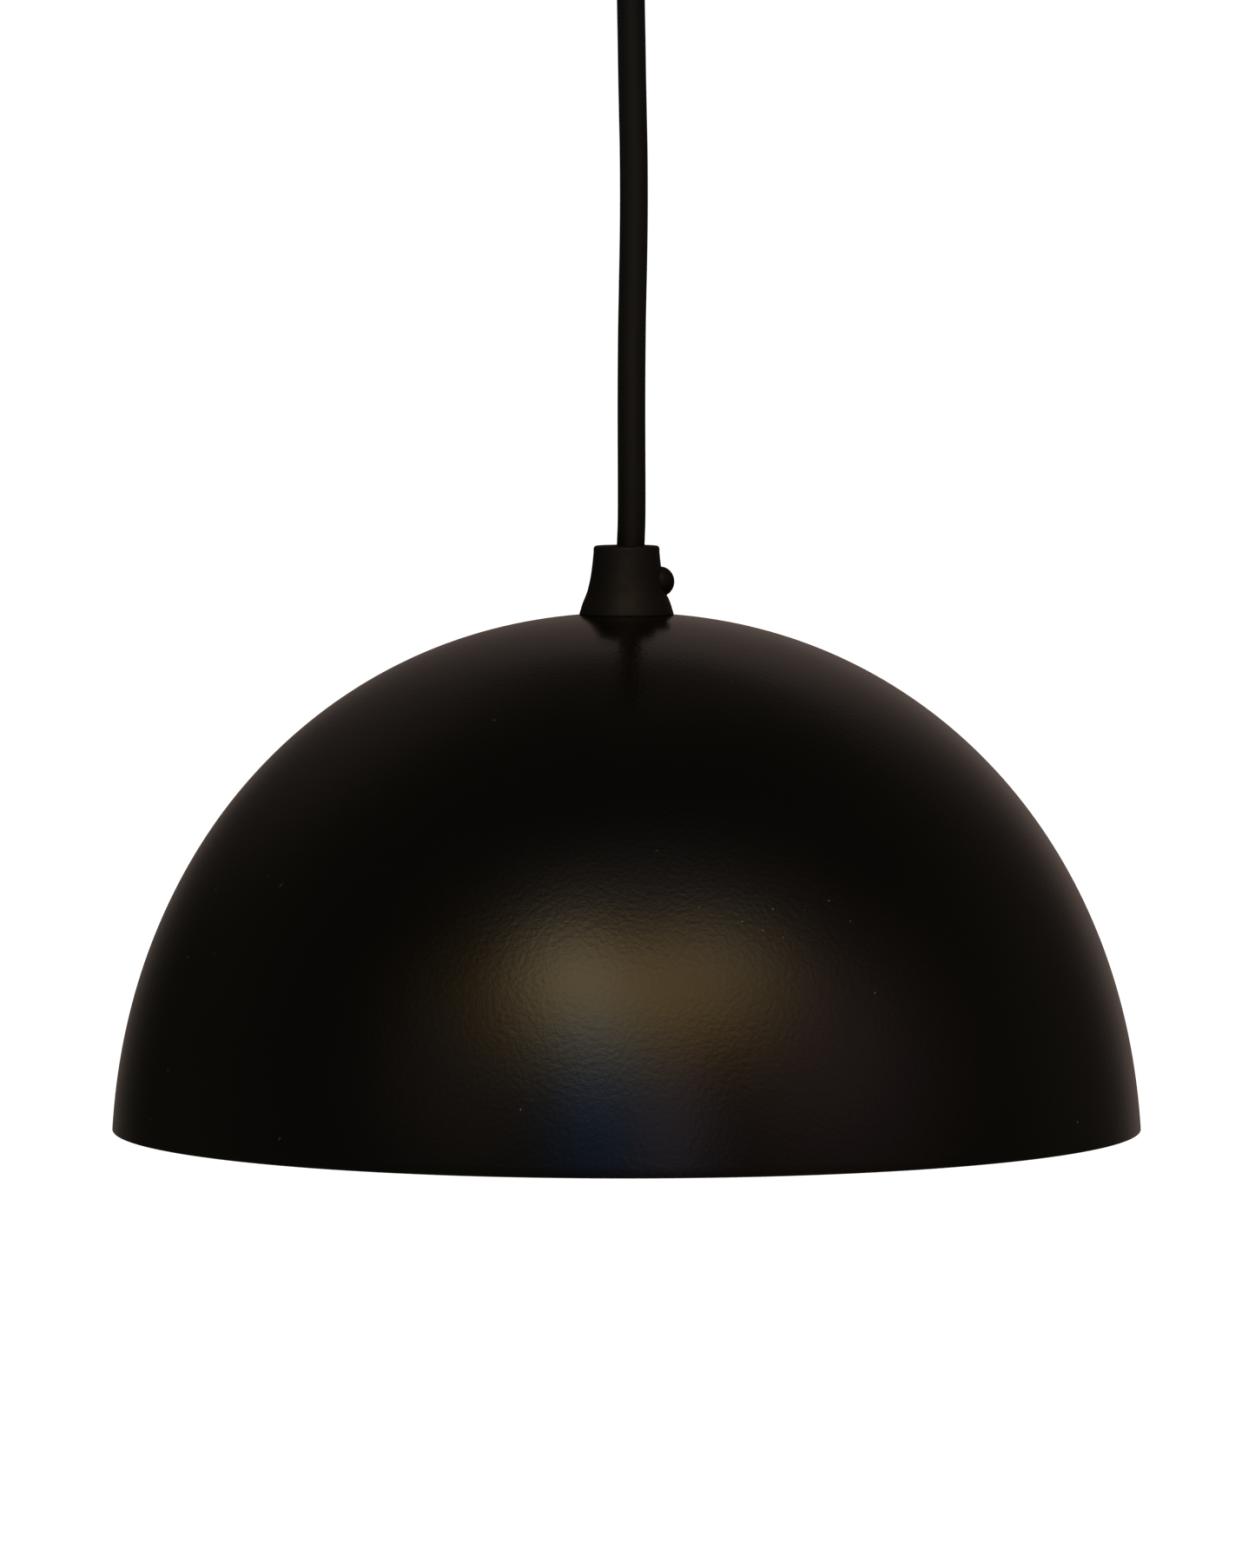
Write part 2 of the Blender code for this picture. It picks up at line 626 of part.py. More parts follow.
def holder_skirt():
    """The lampholder's lower shell, with a grip band and an inner ledge under the insert."""
    top, mouth = HOLDER_SEAM_Z - GAP, HOLDER_MOUTH_Z
    outline = [
        (HOLDER_RADIUS, top),
        (HOLDER_RADIUS, top - 0.012),
        (HOLDER_RADIUS - 0.0012, top - 0.0132),
        (HOLDER_RADIUS - 0.0012, mouth + 0.0012),
        (HOLDER_RADIUS - 0.0022, mouth),
        (SOCKET_RADIUS, mouth),
        (SOCKET_RADIUS, INSERT_BOTTOM_Z - GAP),
        (INSERT_RADIUS + GAP, INSERT_BOTTOM_Z - GAP),
        (INSERT_RADIUS + GAP, top),
    ]
    return turned("holder_skirt", outline, BLACK_PLASTIC, ROUND)


def holder_insert():
    """The ceramic core that carries the contacts, bored for the centre rivet and two screws."""
    core = tube("holder_insert", INSERT_RADIUS, 0.0022, INSERT_TOP_Z, INSERT_BOTTOM_Z, CERAMIC)
    for side in (-1, 1):
        cut(core, drill(f"insert_bore_{side}", 0.0017, 0.012, (side * TERMINAL_X, 0, INSERT_TOP_Z)))
    return core


def holder_contacts():
    """The brass screw shell, the centre contact with its rivet, and the two terminal screws."""
    top, bottom = INSERT_BOTTOM_Z - GAP, HOLDER_MOUTH_Z + 0.004
    outer = SOCKET_RADIUS - GAP
    inner, flange = outer - CONTACT_SHELL_WALL, 0.0105
    outline = [(outer, top), (outer, bottom), (inner, bottom), (inner, top - CONTACT_SHELL_WALL)]
    outline += [(flange, top - CONTACT_SHELL_WALL), (flange, top)]
    pieces = [turned("holder_screw_shell", outline, BRASS, ROUND)]

    rivet, disc, rivet_top = 0.0019, 0.0046, INSERT_TOP_Z - 0.001
    outline = [(0, rivet_top), (rivet, rivet_top), (rivet, top), (disc, top), (disc, top - 0.0007)]
    outline += [(0.0022, CONTACT_Z), (0, CONTACT_Z)]
    pieces.append(turned("holder_centre_contact", outline, BRASS, SMALL_ROUND, closed=False))

    for side, name in ((-1, "neutral"), (1, "live")):
        screw = pan_screw(f"holder_screw_{name}", 0.0027, 0.0014, 0.0014, 0.0045, BRASS)
        pieces.append(place(screw, (side * TERMINAL_X, 0, INSERT_TOP_Z + GAP)))
    return pieces


def holder_wiring():
    """The cord's lower end, its three cores and the earth tag on the nipple."""
    sheath_end = NIPPLE_END_Z + 0.0015
    tail_route = [
        (CORD_OFFSET, 0, SHADE_PIVOT.z - CORD_END_CLEARANCE),
        (0.0007, 0, SHADE_MOUTH_Z - 0.006),
        (0.0003, 0, SHADE_GRIP_Z + 0.004),
        (0, 0, SHADE_TOP_Z - 0.003),
        (0, 0, sheath_end),
    ]
    tail = flex("shade_cord_tail", tail_route, TAIL_RADIUS, BLACK_SHEATH, 0.005)
    tag = earth_tag("holder_earth_tag", 0.0112)
    place(tag, (0, 0, HOLDER_NECK_Z - GAP - WASHER_HEIGHT / 2))
    tag.rotation_euler.z = math.radians(90)

    start = sheath_end - GAP
    end = INSERT_TOP_Z + CORE_RADIUS + GAP
    pieces = [tail, tag]
    for side, name, colour in ((-1, "neutral", BLUE_WIRE), (1, "live", BROWN_WIRE)):
        route = [
            (side * 0.0021, 0, start),
            (side * 0.0024, 0, start - 0.003),
            (side * 0.0040, 0, end + 0.0022),
            (side * 0.0060, 0, end + 0.0006),
        ]
        pieces.append(flex(f"holder_core_{name}", route, CORE_RADIUS, colour, 0.0022))
    earth_route = [
        (0, 0.0021, start),
        (0, 0.0024, start - 0.003),
        (0, 0.0052, start - 0.0053),
        (0, 0.0092, start - 0.0045),
    ]
    pieces.append(flex("holder_core_earth", earth_route, CORE_RADIUS, EARTH_WIRE, 0.0022))
    return pieces


# ---------------------------------------------------------------- lamp
def lamp():
    """A small golf-ball lamp: screw cap, glass insulator, centre contact, collar and opal globe."""
    tip = CONTACT_Z - GAP
    disc_z, cap_top = tip - 0.0014, tip - 0.0045
    seat = HOLDER_MOUTH_Z - 0.0006
    globe_z = tip - LAMP_LENGTH + LAMP_GLOBE_RADIUS
    neck_z = globe_z + math.sqrt(LAMP_GLOBE_RADIUS**2 - LAMP_NECK_RADIUS**2)

    disc = [(0, tip), (0.003, tip - 0.0002), (0.0044, tip - 0.0009), (0.0044, disc_z), (0, disc_z)]
    cone = [(0, disc_z - GAP), (0.0052, disc_z - GAP), (0.0098, cap_top + GAP), (0, cap_top + GAP)]
    cap = [(0, cap_top), (0.0102, cap_top), (LAMP_CAP_RADIUS, cap_top - 0.0025)]
    cap += [(LAMP_CAP_RADIUS, seat), (0, seat)]
    collar = [(0, seat - GAP), (0.0136, seat - GAP), (0.0148, seat - 0.003)]
    collar += [(LAMP_NECK_RADIUS, neck_z), (0, neck_z)]
    start = math.degrees(math.asin((neck_z - GAP - globe_z) / LAMP_GLOBE_RADIUS))
    globe = [(0, neck_z - GAP)]
    globe += arc((0, globe_z), LAMP_GLOBE_RADIUS, start, -90, 10)[:-1]
    globe += [(0, globe_z - LAMP_GLOBE_RADIUS)]
    return [
        turned("lamp_centre_contact", disc, ZINC, SMALL_ROUND, closed=False),
        turned("lamp_insulator", cone, BLACK_GLASS, ROUND, closed=False),
        turned("lamp_screw_cap", cap, ZINC, ROUND, closed=False),
        turned("lamp_collar", collar, WHITE_PLASTIC, ROUND, closed=False),
        turned("lamp_globe", globe, OPAL, ROUND, closed=False),
    ]


# ---------------------------------------------------------------- assembly
def main():
    ceiling_bracket()
    bracket_screws()

    canopy = joint_empty("canopy_slide_axis", (0, 0, CUP_TOP_Z))
    canopy_screw = joint_empty(
        "canopy_grip_screw_axis", (GRIP_SCREW_SEAT, 0, CANOPY_GRIP_Z - GRIP_SCREW_HEIGHT)
    )
    swing = joint_empty("cord_swing_axis", CORD_PIVOT)
    tilt = joint_empty("shade_tilt_axis", SHADE_PIVOT)
    shade_screw = joint_empty(
        "shade_grip_screw_axis", (GRIP_SCREW_SEAT, 0, SHADE_GRIP_Z + GRIP_SCREW_HEIGHT)
    )
    lamp_slide = joint_empty("lamp_slide_axis", (0, 0, HOLDER_MOUTH_Z))
    hang_on(canopy, canopy_screw, swing)
    hang_on(swing, tilt)
    hang_on(tilt, shade_screw, lamp_slide)

    hang_on(canopy, canopy_cup(), grip("canopy_grip", CANOPY_GRIP_Z, up=False), *canopy_inside())
    hang_on(canopy_screw, grip_screw("canopy_grip_screw", CANOPY_GRIP_Z, up=False))
    route = [(x, y, SHADE_MOUTH_Z + height) for height, x, y in CORD_ROUTE]
    hang_on(swing, flex("cord", route, CORD_RADIUS, BLACK_SHEATH, 4 * CORD_RADIUS))
    hang_on(tilt, shade(), grip("shade_grip", SHADE_GRIP_Z, up=True), *shade_hardware())
    hang_on(tilt, holder_cap(), holder_skirt(), holder_insert(), *holder_contacts(), *holder_wiring())
    hang_on(shade_screw, grip_screw("shade_grip_screw", SHADE_GRIP_Z, up=True))
    hang_on(lamp_slide, *lamp())


main()
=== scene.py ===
import contextlib
import json
import math

import bmesh
import bpy
from mathutils import Matrix, Vector, noise


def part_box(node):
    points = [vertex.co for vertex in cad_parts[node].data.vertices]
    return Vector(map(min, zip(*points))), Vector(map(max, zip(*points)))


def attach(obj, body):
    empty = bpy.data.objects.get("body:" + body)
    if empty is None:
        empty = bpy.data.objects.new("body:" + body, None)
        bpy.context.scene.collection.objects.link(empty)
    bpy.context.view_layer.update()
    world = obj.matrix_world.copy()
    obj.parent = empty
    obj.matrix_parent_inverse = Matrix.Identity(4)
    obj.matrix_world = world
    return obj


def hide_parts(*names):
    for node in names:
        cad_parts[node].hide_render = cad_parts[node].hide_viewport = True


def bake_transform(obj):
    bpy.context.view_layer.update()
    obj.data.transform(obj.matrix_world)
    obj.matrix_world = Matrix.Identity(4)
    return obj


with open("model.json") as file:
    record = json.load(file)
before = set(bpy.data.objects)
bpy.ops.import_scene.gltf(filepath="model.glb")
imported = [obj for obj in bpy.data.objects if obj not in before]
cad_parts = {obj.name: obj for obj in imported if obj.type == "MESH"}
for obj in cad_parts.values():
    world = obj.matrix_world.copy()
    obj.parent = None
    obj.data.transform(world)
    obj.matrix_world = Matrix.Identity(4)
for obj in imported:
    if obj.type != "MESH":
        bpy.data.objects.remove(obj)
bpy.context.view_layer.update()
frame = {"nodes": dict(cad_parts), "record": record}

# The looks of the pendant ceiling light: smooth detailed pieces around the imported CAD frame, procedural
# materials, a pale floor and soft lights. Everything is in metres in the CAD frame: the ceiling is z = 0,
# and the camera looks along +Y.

SCENE = bpy.context.scene

# -------- sizes, the same as in the CAD
FIT_GAP = 0.0003  # between pieces that touch
CORD_RADIUS = 0.0034
TAIL_RADIUS = 0.0033  # of the cord's gripped ends
CORE_RADIUS = 0.00095  # of its insulated cores
CORD_SPAN = 0.141  # between the two grips' mouths
CORD_OFFSET = 0.00095  # of the cord from the axis, in each grip
CORD_END_CLEARANCE = 0.0019
GRIP_HEIGHT = 0.01635
GRIP_CORNER = 0.0008
GRIP_FOOT_RADIUS = 0.0115
GRIP_BORE = 0.0045
GRIP_MOUTH_RADIUS = 0.006
GRIP_MOUTH_DEPTH = 0.0018
GRIP_PIVOT_DEPTH = 0.001
GRIP_THREAD_DEPTH = 0.0054
GRIP_SCREW_HEIGHT = 0.0076
GRIP_SCREW_SEAT = 0.0085
GRIP_SCREW_HEAD = 0.0037
GRIP_SCREW_DOME = 0.00315
GRIP_SCREW_TIP = 0.0042
NIPPLE_RADIUS = 0.00485
NIPPLE_BORE = 0.0042
THREAD_HOLE = 0.0051
NUT_CORNER = 0.00808
WASHER_RADIUS = 0.009
EARTH_TAG_RADIUS = 0.0076
BRACKET_THICK = 0.0015
EARTH_SCREW_X = 0.0095
CUP_RADIUS = 0.05
CUP_WALL = 0.001
CUP_CORNER = 0.006
SIDE_SCREW_RADIUS = 0.0018
SIDE_SLOT_WIDTH = 0.0046
SHADE_RADIUS = 0.125
SHADE_HEIGHT = 0.125
SHADE_WALL = 0.0008
DOME_HALF_HEIGHT = 0.1368
DOME_CENTRE = -0.0115
DOME_POWER = 2.09
SEAT_RADIUS = 0.0098
HOLDER_RADIUS = 0.0198
HOLDER_WALL = 0.0018
INSERT_RADIUS = 0.0172
SOCKET_RADIUS = 0.0151
CONTACT_SHELL_WALL = 0.0005
TERMINAL_X = 0.0095
POLES = ((-1, "earth"), (0, "neutral"), (1, "live"))
HOLDER_POLES = ((-1, "neutral"), (1, "live"))
POLE_SPACING = 0.008
SLEEVE_RADIUS = 0.0021
LAMP_GLOBE_RADIUS = 0.0225
LAMP_NECK_RADIUS = 0.0188
LAMP_CAP_RADIUS = 0.0131
LAMP_THREAD_PITCH = 0.00363
FINE_THREAD_PITCH = 0.001


def span(node):
    """The heights of a CAD node's foot and top."""
    return [corner.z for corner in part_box(node)]


CUP_BOTTOM_Z, CUP_TOP_Z = span("canopy_cup")
SIDE_SCREW_Z = sum(span("canopy_side_screw_left")) / 2
CANOPY_MOUTH_Z, CANOPY_GRIP_Z = span("canopy_grip")
SHADE_GRIP_Z, SHADE_MOUTH_Z = span("shade_grip")
SHADE_RIM_Z, SHADE_TOP_Z = span("shade")
HOLDER_SEAM_Z, HOLDER_TOP_Z = span("holder_cap")
HOLDER_MOUTH_Z = span("holder_skirt")[0]
INSERT_BOTTOM_Z, INSERT_TOP_Z = span("holder_insert")
NIPPLE_END_Z = span("shade_nipple")[0]
LAMP_TIP_Z = span("lamp_centre_contact")[1]
LAMP_SEAT_Z, LAMP_CAP_Z = span("lamp_screw_cap")

# The cord's route, as in the CAD: (height above the lower grip's mouth, x, y).
CORD_ROUTE = [
    (-GRIP_PIVOT_DEPTH, CORD_OFFSET, 0.0), (0.0020, 0.00108, 0.0), (0.0065, 0.00122, 0.0),
    (0.0150, 0.00124, 0.00005), (0.0260, 0.00120, 0.00010), (0.0360, 0.00119, 0.00020),
    (0.0450, 0.00123, 0.00030), (0.0540, 0.00133, 0.00040), (0.0620, 0.00148, 0.00045),
    (0.0700, 0.00164, 0.00050), (0.0780, 0.00175, 0.00050), (0.0860, 0.00178, 0.00045),
    (0.0950, 0.00172, 0.00035), (0.1040, 0.00154, 0.00025), (0.1130, 0.00136, 0.00015),
    (0.1220, 0.00122, 0.00005), (0.1310, 0.00106, 0.0), (0.1370, 0.00098, 0.0),
    (CORD_SPAN + GRIP_PIVOT_DEPTH, CORD_OFFSET, 0.0),
]
CORD_OVERLAP = 0.0007  # the cord runs this far past its pivots, inside the grips

# Finer than the CAD: the bell's flare as (height, radius), just inside the CAD's own.
GRIP_PROFILE = [
    (0.01475, 0.00803), (0.01290, 0.00821), (0.01165, 0.00835), (0.01040, 0.00850), (0.00910, 0.00869),
    (0.00785, 0.00892), (0.00660, 0.00921), (0.00530, 0.00953), (0.00404, 0.00999), (0.00340, 0.01027),
    (0.00278, 0.01052), (0.00210, 0.01079), (0.00150, 0.01096), (0.00087, 0.01113), (0.00030, 0.01134),
]
GRIP_HEAD_SEAT = 0.0072  # the head is sunk, so that the bell's edge covers its foot
GRIP_HEAD_CENTRE = 0.0081
BARE_RADIUS = 0.00042
HOLDER_HEAD_RISE = 0.0012  # room under each terminal screw's head for the hooked conductor
EYELET_RADIUS = 0.0007

# The other slotted screws: (head radius, dome height, shank radius, length).
SIDE_SCREW = (0.0036, 0.0031, SIDE_SCREW_RADIUS, 0.0062)
EARTH_SCREW = (0.0034, 0.0021, 0.0018, 0.0016)
BLOCK_SCREW = (0.0014, 0.0008, 0.00137, 0.002)
HOLDER_SCREW = (0.0027, 0.0014, 0.0014, 0.0045)

SMOOTH_BELOW = 38  # degrees between faces; a sharper edge stays an edge
ON_AXIS = 1e-7  # a smaller radius is on the axis
TINY = 1e-6  # lengths this close are the same


# -------- mesh helpers
@contextlib.contextmanager
def edited(mesh):
    """A bmesh of the mesh, written back to it afterwards."""
    shape = bmesh.new()
    shape.from_mesh(mesh)
    yield shape
    shape.to_mesh(mesh)
    shape.free()


def smoothed(mesh, below=SMOOTH_BELOW):
    mesh.shade_smooth()
    mesh.set_sharp_from_angle(angle=math.radians(below))


def in_scene(name, data):
    obj = bpy.data.objects.new(name, data)
    SCENE.collection.objects.link(obj)
    return obj


def new_piece(name, mesh, smooth_below=SMOOTH_BELOW):
    """An object in the scene, with its faces turned outwards and its flat angles smoothed."""
    obj = in_scene(name, mesh)
    with edited(mesh) as shape:
        bmesh.ops.recalc_face_normals(shape, faces=shape.faces)
    smoothed(mesh, smooth_below)
    return obj


def arc(centre, radius, start, end, steps):
    """Points on an arc from start to end, in degrees."""
    angles = [math.radians(start + (end - start) * i / steps) for i in range(steps + 1)]
    return [(centre[0] + radius * math.cos(a), centre[1] + radius * math.sin(a)) for a in angles]


def softened(outline, reach, steps=3, above=24):
    """The outline with each corner off the axis, and sharper than some degrees, made a small curve."""
    made, count = [], len(outline)
    for i, corner in enumerate(outline):
        p = Vector(corner)
        before = Vector(outline[i - 1]) - p
        after = Vector(outline[(i + 1) % count]) - p
        kept = corner[0] < ON_AXIS or min(before.length, after.length) < 1e-9
        if kept or 180 - math.degrees(before.angle(after)) < above:
            made.append(corner)
            continue
        a = p + before.normalized() * min(reach, before.length * 0.45)
        b = p + after.normalized() * min(reach, after.length * 0.45)
        for k in range(steps + 1):
            t = k / steps
            made.append(tuple(a * (1 - t) ** 2 + p * (2 * t * (1 - t)) + b * t * t))
    return made


def lathe(name, outline, sides, form=None, smooth_below=SMOOTH_BELOW):
    """Turns (radius, height) points about Z. form(radius, height, angle) may move each point.

    The outline runs back to its start, or starts and ends on the axis.
    """
    points, rings = [], []
    for radius, height in outline:
        if radius < ON_AXIS:
            rings.append([len(points)] * sides)
            points.append((0.0, 0.0, height))
            continue
        rings.append(list(range(len(points), len(points) + sides)))
        for k in range(sides):
            angle = math.tau * k / sides
            r, z = form(radius, height, angle) if form else (radius, height)
            points.append((r * math.cos(angle), r * math.sin(angle), z))
    faces = []
    for low, high in zip(rings, rings[1:] + rings[:1]):
        for k in range(sides):
            corners = [low[k], low[(k + 1) % sides], high[(k + 1) % sides], high[k]]
            face = list(dict.fromkeys(corners))
            if len(face) > 2:
                faces.append(face)
    mesh = bpy.data.meshes.new(name)
    mesh.from_pydata(points, [], faces)
    return new_piece(name, mesh, smooth_below)


def evaluated(obj):
    """Applies obj's modifiers to its mesh."""
    graph = bpy.context.evaluated_depsgraph_get()
    mesh = bpy.data.meshes.new_from_object(obj.evaluated_get(graph), depsgraph=graph)
    obj.modifiers.clear()
    obj.data = mesh
    return obj


def carved(obj, *cutters, operation="DIFFERENCE"):
    """Cuts the cutters out of obj, or joins or crosses them with it, and removes them."""
    for cutter in cutters:
        boolean = obj.modifiers.new("Cut", "BOOLEAN")
        boolean.operation = operation
        boolean.solver = "EXACT"
        boolean.object = cutter
    evaluated(obj)
    for cutter in cutters:
        bpy.data.objects.remove(cutter, do_unlink=True)
    smoothed(obj.data)
    return obj


def placed(obj, at=(0, 0, 0), axis=(0, 0, 1), turn=0.0):
    """Moves the mesh itself: its own Z goes along axis, after a turn about it in degrees."""
    tilt = Vector((0, 0, 1)).rotation_difference(Vector(axis)).to_matrix().to_4x4()
    spin = Matrix.Rotation(math.radians(turn), 4, "Z")
    obj.data.transform(Matrix.Translation(Vector(at)) @ tilt @ spin)
    return obj


def block(name, size, at=(0, 0, 0), bevel=0.0):
    mesh = bpy.data.meshes.new(name)
    with edited(mesh) as shape:
        bmesh.ops.create_cube(shape, size=1.0, matrix=Matrix.Diagonal((*size, 1.0)))
        if bevel:
            edges = shape.edges[:]
            bmesh.ops.bevel(shape, geom=edges, offset=bevel, segments=3, profile=0.5, affect="EDGES")
    return placed(new_piece(name, mesh), at)


def rod(name, radius, length, at=(0, 0, 0), axis=(0, 0, 1), sides=32):
    half = length / 2
    outline = [(0, half), (radius, half), (radius, -half), (0, -half)]
    return placed(lathe(name, outline, sides), at, axis)


def smooth_route(points, spacing):
    """Points about spacing apart on the Catmull-Rom curve through a route's own points."""
    points = [Vector(p) for p in points]
    ends = [2 * points[0] - points[1], *points, 2 * points[-1] - points[-2]]
    made = [points[0]]
    for before, a, b, after in zip(ends, ends[1:], ends[2:], ends[3:]):
        steps = max(1, round((b - a).length / spacing))
        for i in range(1, steps + 1):
            t = i / steps
            bend = (2 * before - 5 * a + 4 * b - after) * t**2 + (3 * a - before - 3 * b + after) * t**3
            made.append(0.5 * (2 * a + (b - before) * t + bend))
    return made


def tube(name, path, radius, sides):
    """A round tube along a path, with rounded ends. Its point attribute "stripes" is a wave round it."""
    final = len(path) - 1
    tangents = []
    for i in range(len(path)):
        tangents.append((path[min(i + 1, final)] - path[max(i - 1, 0)]).normalized())
    side = tangents[0].orthogonal().normalized()
    rings = []
    for point, tangent in zip(path, tangents):
        side = (side - tangent * side.dot(tangent)).normalized()
        rings.append((point, tangent, side.copy(), radius))

    soft = radius * 0.22
    drops = (soft, soft * 0.3, 0)

    def rounded(ring, inward):
        point, tangent, side, _ = ring
        return [(point + tangent * inward * (soft - drop), tangent, side, radius - drop) for drop in drops]

    rings = rounded(rings[0], 1) + rings[1:-1] + rounded(rings[-1], -1)[::-1]
    points, stripes = [], []
    for point, tangent, across, ring_radius in rings:
        other = tangent.cross(across)
        for k in range(sides):
            angle = math.tau * k / sides
            points.append(point + (across * math.cos(angle) + other * math.sin(angle)) * ring_radius)
            stripes.append(math.sin(2 * angle))
    faces = []
    for i in range(len(rings) - 1):
        for k in range(sides):
            n = (k + 1) % sides
            faces.append((i * sides + k, i * sides + n, (i + 1) * sides + n, (i + 1) * sides + k))
    faces.append(tuple(range(sides)))
    faces.append(tuple((len(rings) - 1) * sides + k for k in range(sides)))
    mesh = bpy.data.meshes.new(name)
    mesh.from_pydata(points, [], faces)
    attribute = mesh.attributes.new("stripes", "FLOAT", "POINT")
    attribute.data.foreach_set("value", stripes)
    return new_piece(name, mesh, 50)


# -------- materials
class Nodes:
    """A short way to write a material's or the world's nodes. A value may be a number or a socket."""

    def __init__(self, owner):
        owner.use_nodes = True
        self.tree = owner.node_tree
        self.shader = self.tree.nodes.get("Principled BSDF")
        if not self.shader:
            self.tree.nodes.clear()
        self.where = self.add("TexCoord").outputs["Object" if self.shader else "Generated"]

    def add(self, kind, values=(), **settings):
        node = self.tree.nodes.new("ShaderNode" + kind)
        for key, value in settings.items():
            setattr(node, key, value)
        return self.put(node, dict(values))

    def put(self, node, values):
        for key, value in values.items():
            if isinstance(value, bpy.types.NodeSocket):
                self.tree.links.new(value, node.inputs[key])
            else:
                node.inputs[key].default_value = value
        return node

    def mapped(self, vector, **how):
        return self.add("Mapping", {"Vector": vector, **how}).outputs[0]

    def scaled(self, colour, by):
        return self.add("VectorMath", {0: colour, "Scale": by}, operation="SCALE").outputs[0]

    def noise(self, scale, detail, roughness, stretch=None):
        vector = self.mapped(self.where, Scale=stretch) if stretch else self.where
        values = {"Vector": vector, "Scale": scale, "Detail": detail, "Roughness": roughness}
        return self.add("TexNoise", values).outputs["Fac"]

    def ramp(self, value, low, high, to_low=0.0, to_high=1.0):
        values = {0: value, 1: low, 2: high, 3: to_low, 4: to_high}
        return self.add("MapRange", values, interpolation_type="SMOOTHSTEP").outputs[0]

    def math(self, operation, a, b=0.0, c=0.0):
        return self.add("Math", {0: a, 1: b, 2: c}, operation=operation).outputs[0]

    def times(self, a, b):
        return self.math("MULTIPLY", a, b)

    def spots(self, where, cells, size, share):
        """1 in small round spots, in some share of a texture's cells."""
        cell = self.add("TexVoronoi", {"Vector": where, "Scale": cells, "Randomness": 1.0})
        near = self.ramp(cell.outputs["Distance"], size * 0.5, size, 1.0, 0.0)
        pick = self.add("SeparateColor", {0: cell.outputs["Color"]}).outputs[0]
        return self.times(near, self.math("LESS_THAN", pick, share))

    def mix(self, factor, a, b):
        return self.add("Mix", {0: factor, 6: a, 7: b}, data_type="RGBA").outputs[2]


def rgb(*colour):
    return (*colour, 1.0)


def finish(
    name, light, dark, roughness, bumps, mottle, metallic=0.0, stretch=None, ior=1.5,
    specks=None, dusty=None, hairs=None, extra=None,
):
    """A procedural material: two tones mottled together, uneven roughness and layers of bump.

    roughness is (low, high), each bump is (texture scale, height in metres, detail, stretch), and mottle
    is the tones' texture scale. specks is (cells per metre, radius in cells, share of cells, colour), and
    dusty is (place, reach, flatness, share) of a wide low patch where they lie thicker. hairs is the same
    as specks for fine marks, followed by how they are turned and stretched. extra(nodes, colour) may
    change the colour.
    """
    material = bpy.data.materials.new(name)
    nodes = Nodes(material)
    low, high = 0.3, 0.7  # most of the noise lies between these
    tone_noise = nodes.noise(mottle, 4, 0.6, stretch)
    gloss_noise = nodes.noise(mottle * 1.7, 3, 0.5, stretch)
    colour = nodes.mix(nodes.ramp(tone_noise, low, high), rgb(*dark), rgb(*light))
    rough = nodes.ramp(gloss_noise, low, high, *roughness)
    if extra:
        colour = extra(nodes, colour)
    if specks:
        cells, size, share, tone = specks
        if dusty:
            place, reach, flatness, thick = dusty
            off = nodes.add("VectorMath", {0: nodes.where, 1: place}, operation="SUBTRACT").outputs[0]
            off = nodes.mapped(off, Scale=(1, 1, flatness))
            away = nodes.add("VectorMath", {0: off}, operation="LENGTH").outputs["Value"]
            share = nodes.ramp(away, reach * 0.4, reach, thick, share)
        colour = nodes.mix(nodes.spots(nodes.where, cells, size, share), colour, rgb(*tone))
    if hairs:
        cells, size, share, tone, turn, thin = hairs
        lined = nodes.mapped(nodes.mapped(nodes.where, Rotation=turn), Scale=thin)
        colour = nodes.mix(nodes.spots(lined, cells, size, share), colour, rgb(*tone))
    under = {}
    for scale, height, detail, bump_stretch in bumps:
        relief = nodes.noise(scale, detail, 0.5, bump_stretch)
        bump = nodes.add("Bump", {"Height": relief, "Distance": height, "Strength": 1.0, **under})
        under = {"Normal": bump.outputs[0]}
    nodes.put(nodes.shader, {"Metallic": metallic, "IOR": ior})
    nodes.put(nodes.shader, {"Base Color": colour, "Roughness": rough, **under})
    return material


def two_tone(second):
    """For the earth wire: a second colour in two stripes along it."""

    def paint(nodes, colour):
        wave = nodes.add("Attribute", attribute_name="stripes").outputs["Fac"]
        return nodes.mix(nodes.ramp(wave, 0.05, 0.15), colour, rgb(*second))

    return paint


def insulation(name, light, dark, extra=None):
    return finish(name, light, dark, (0.34, 0.46), [(2400, 3.0e-6, 2.0, None)], mottle=500, extra=extra)


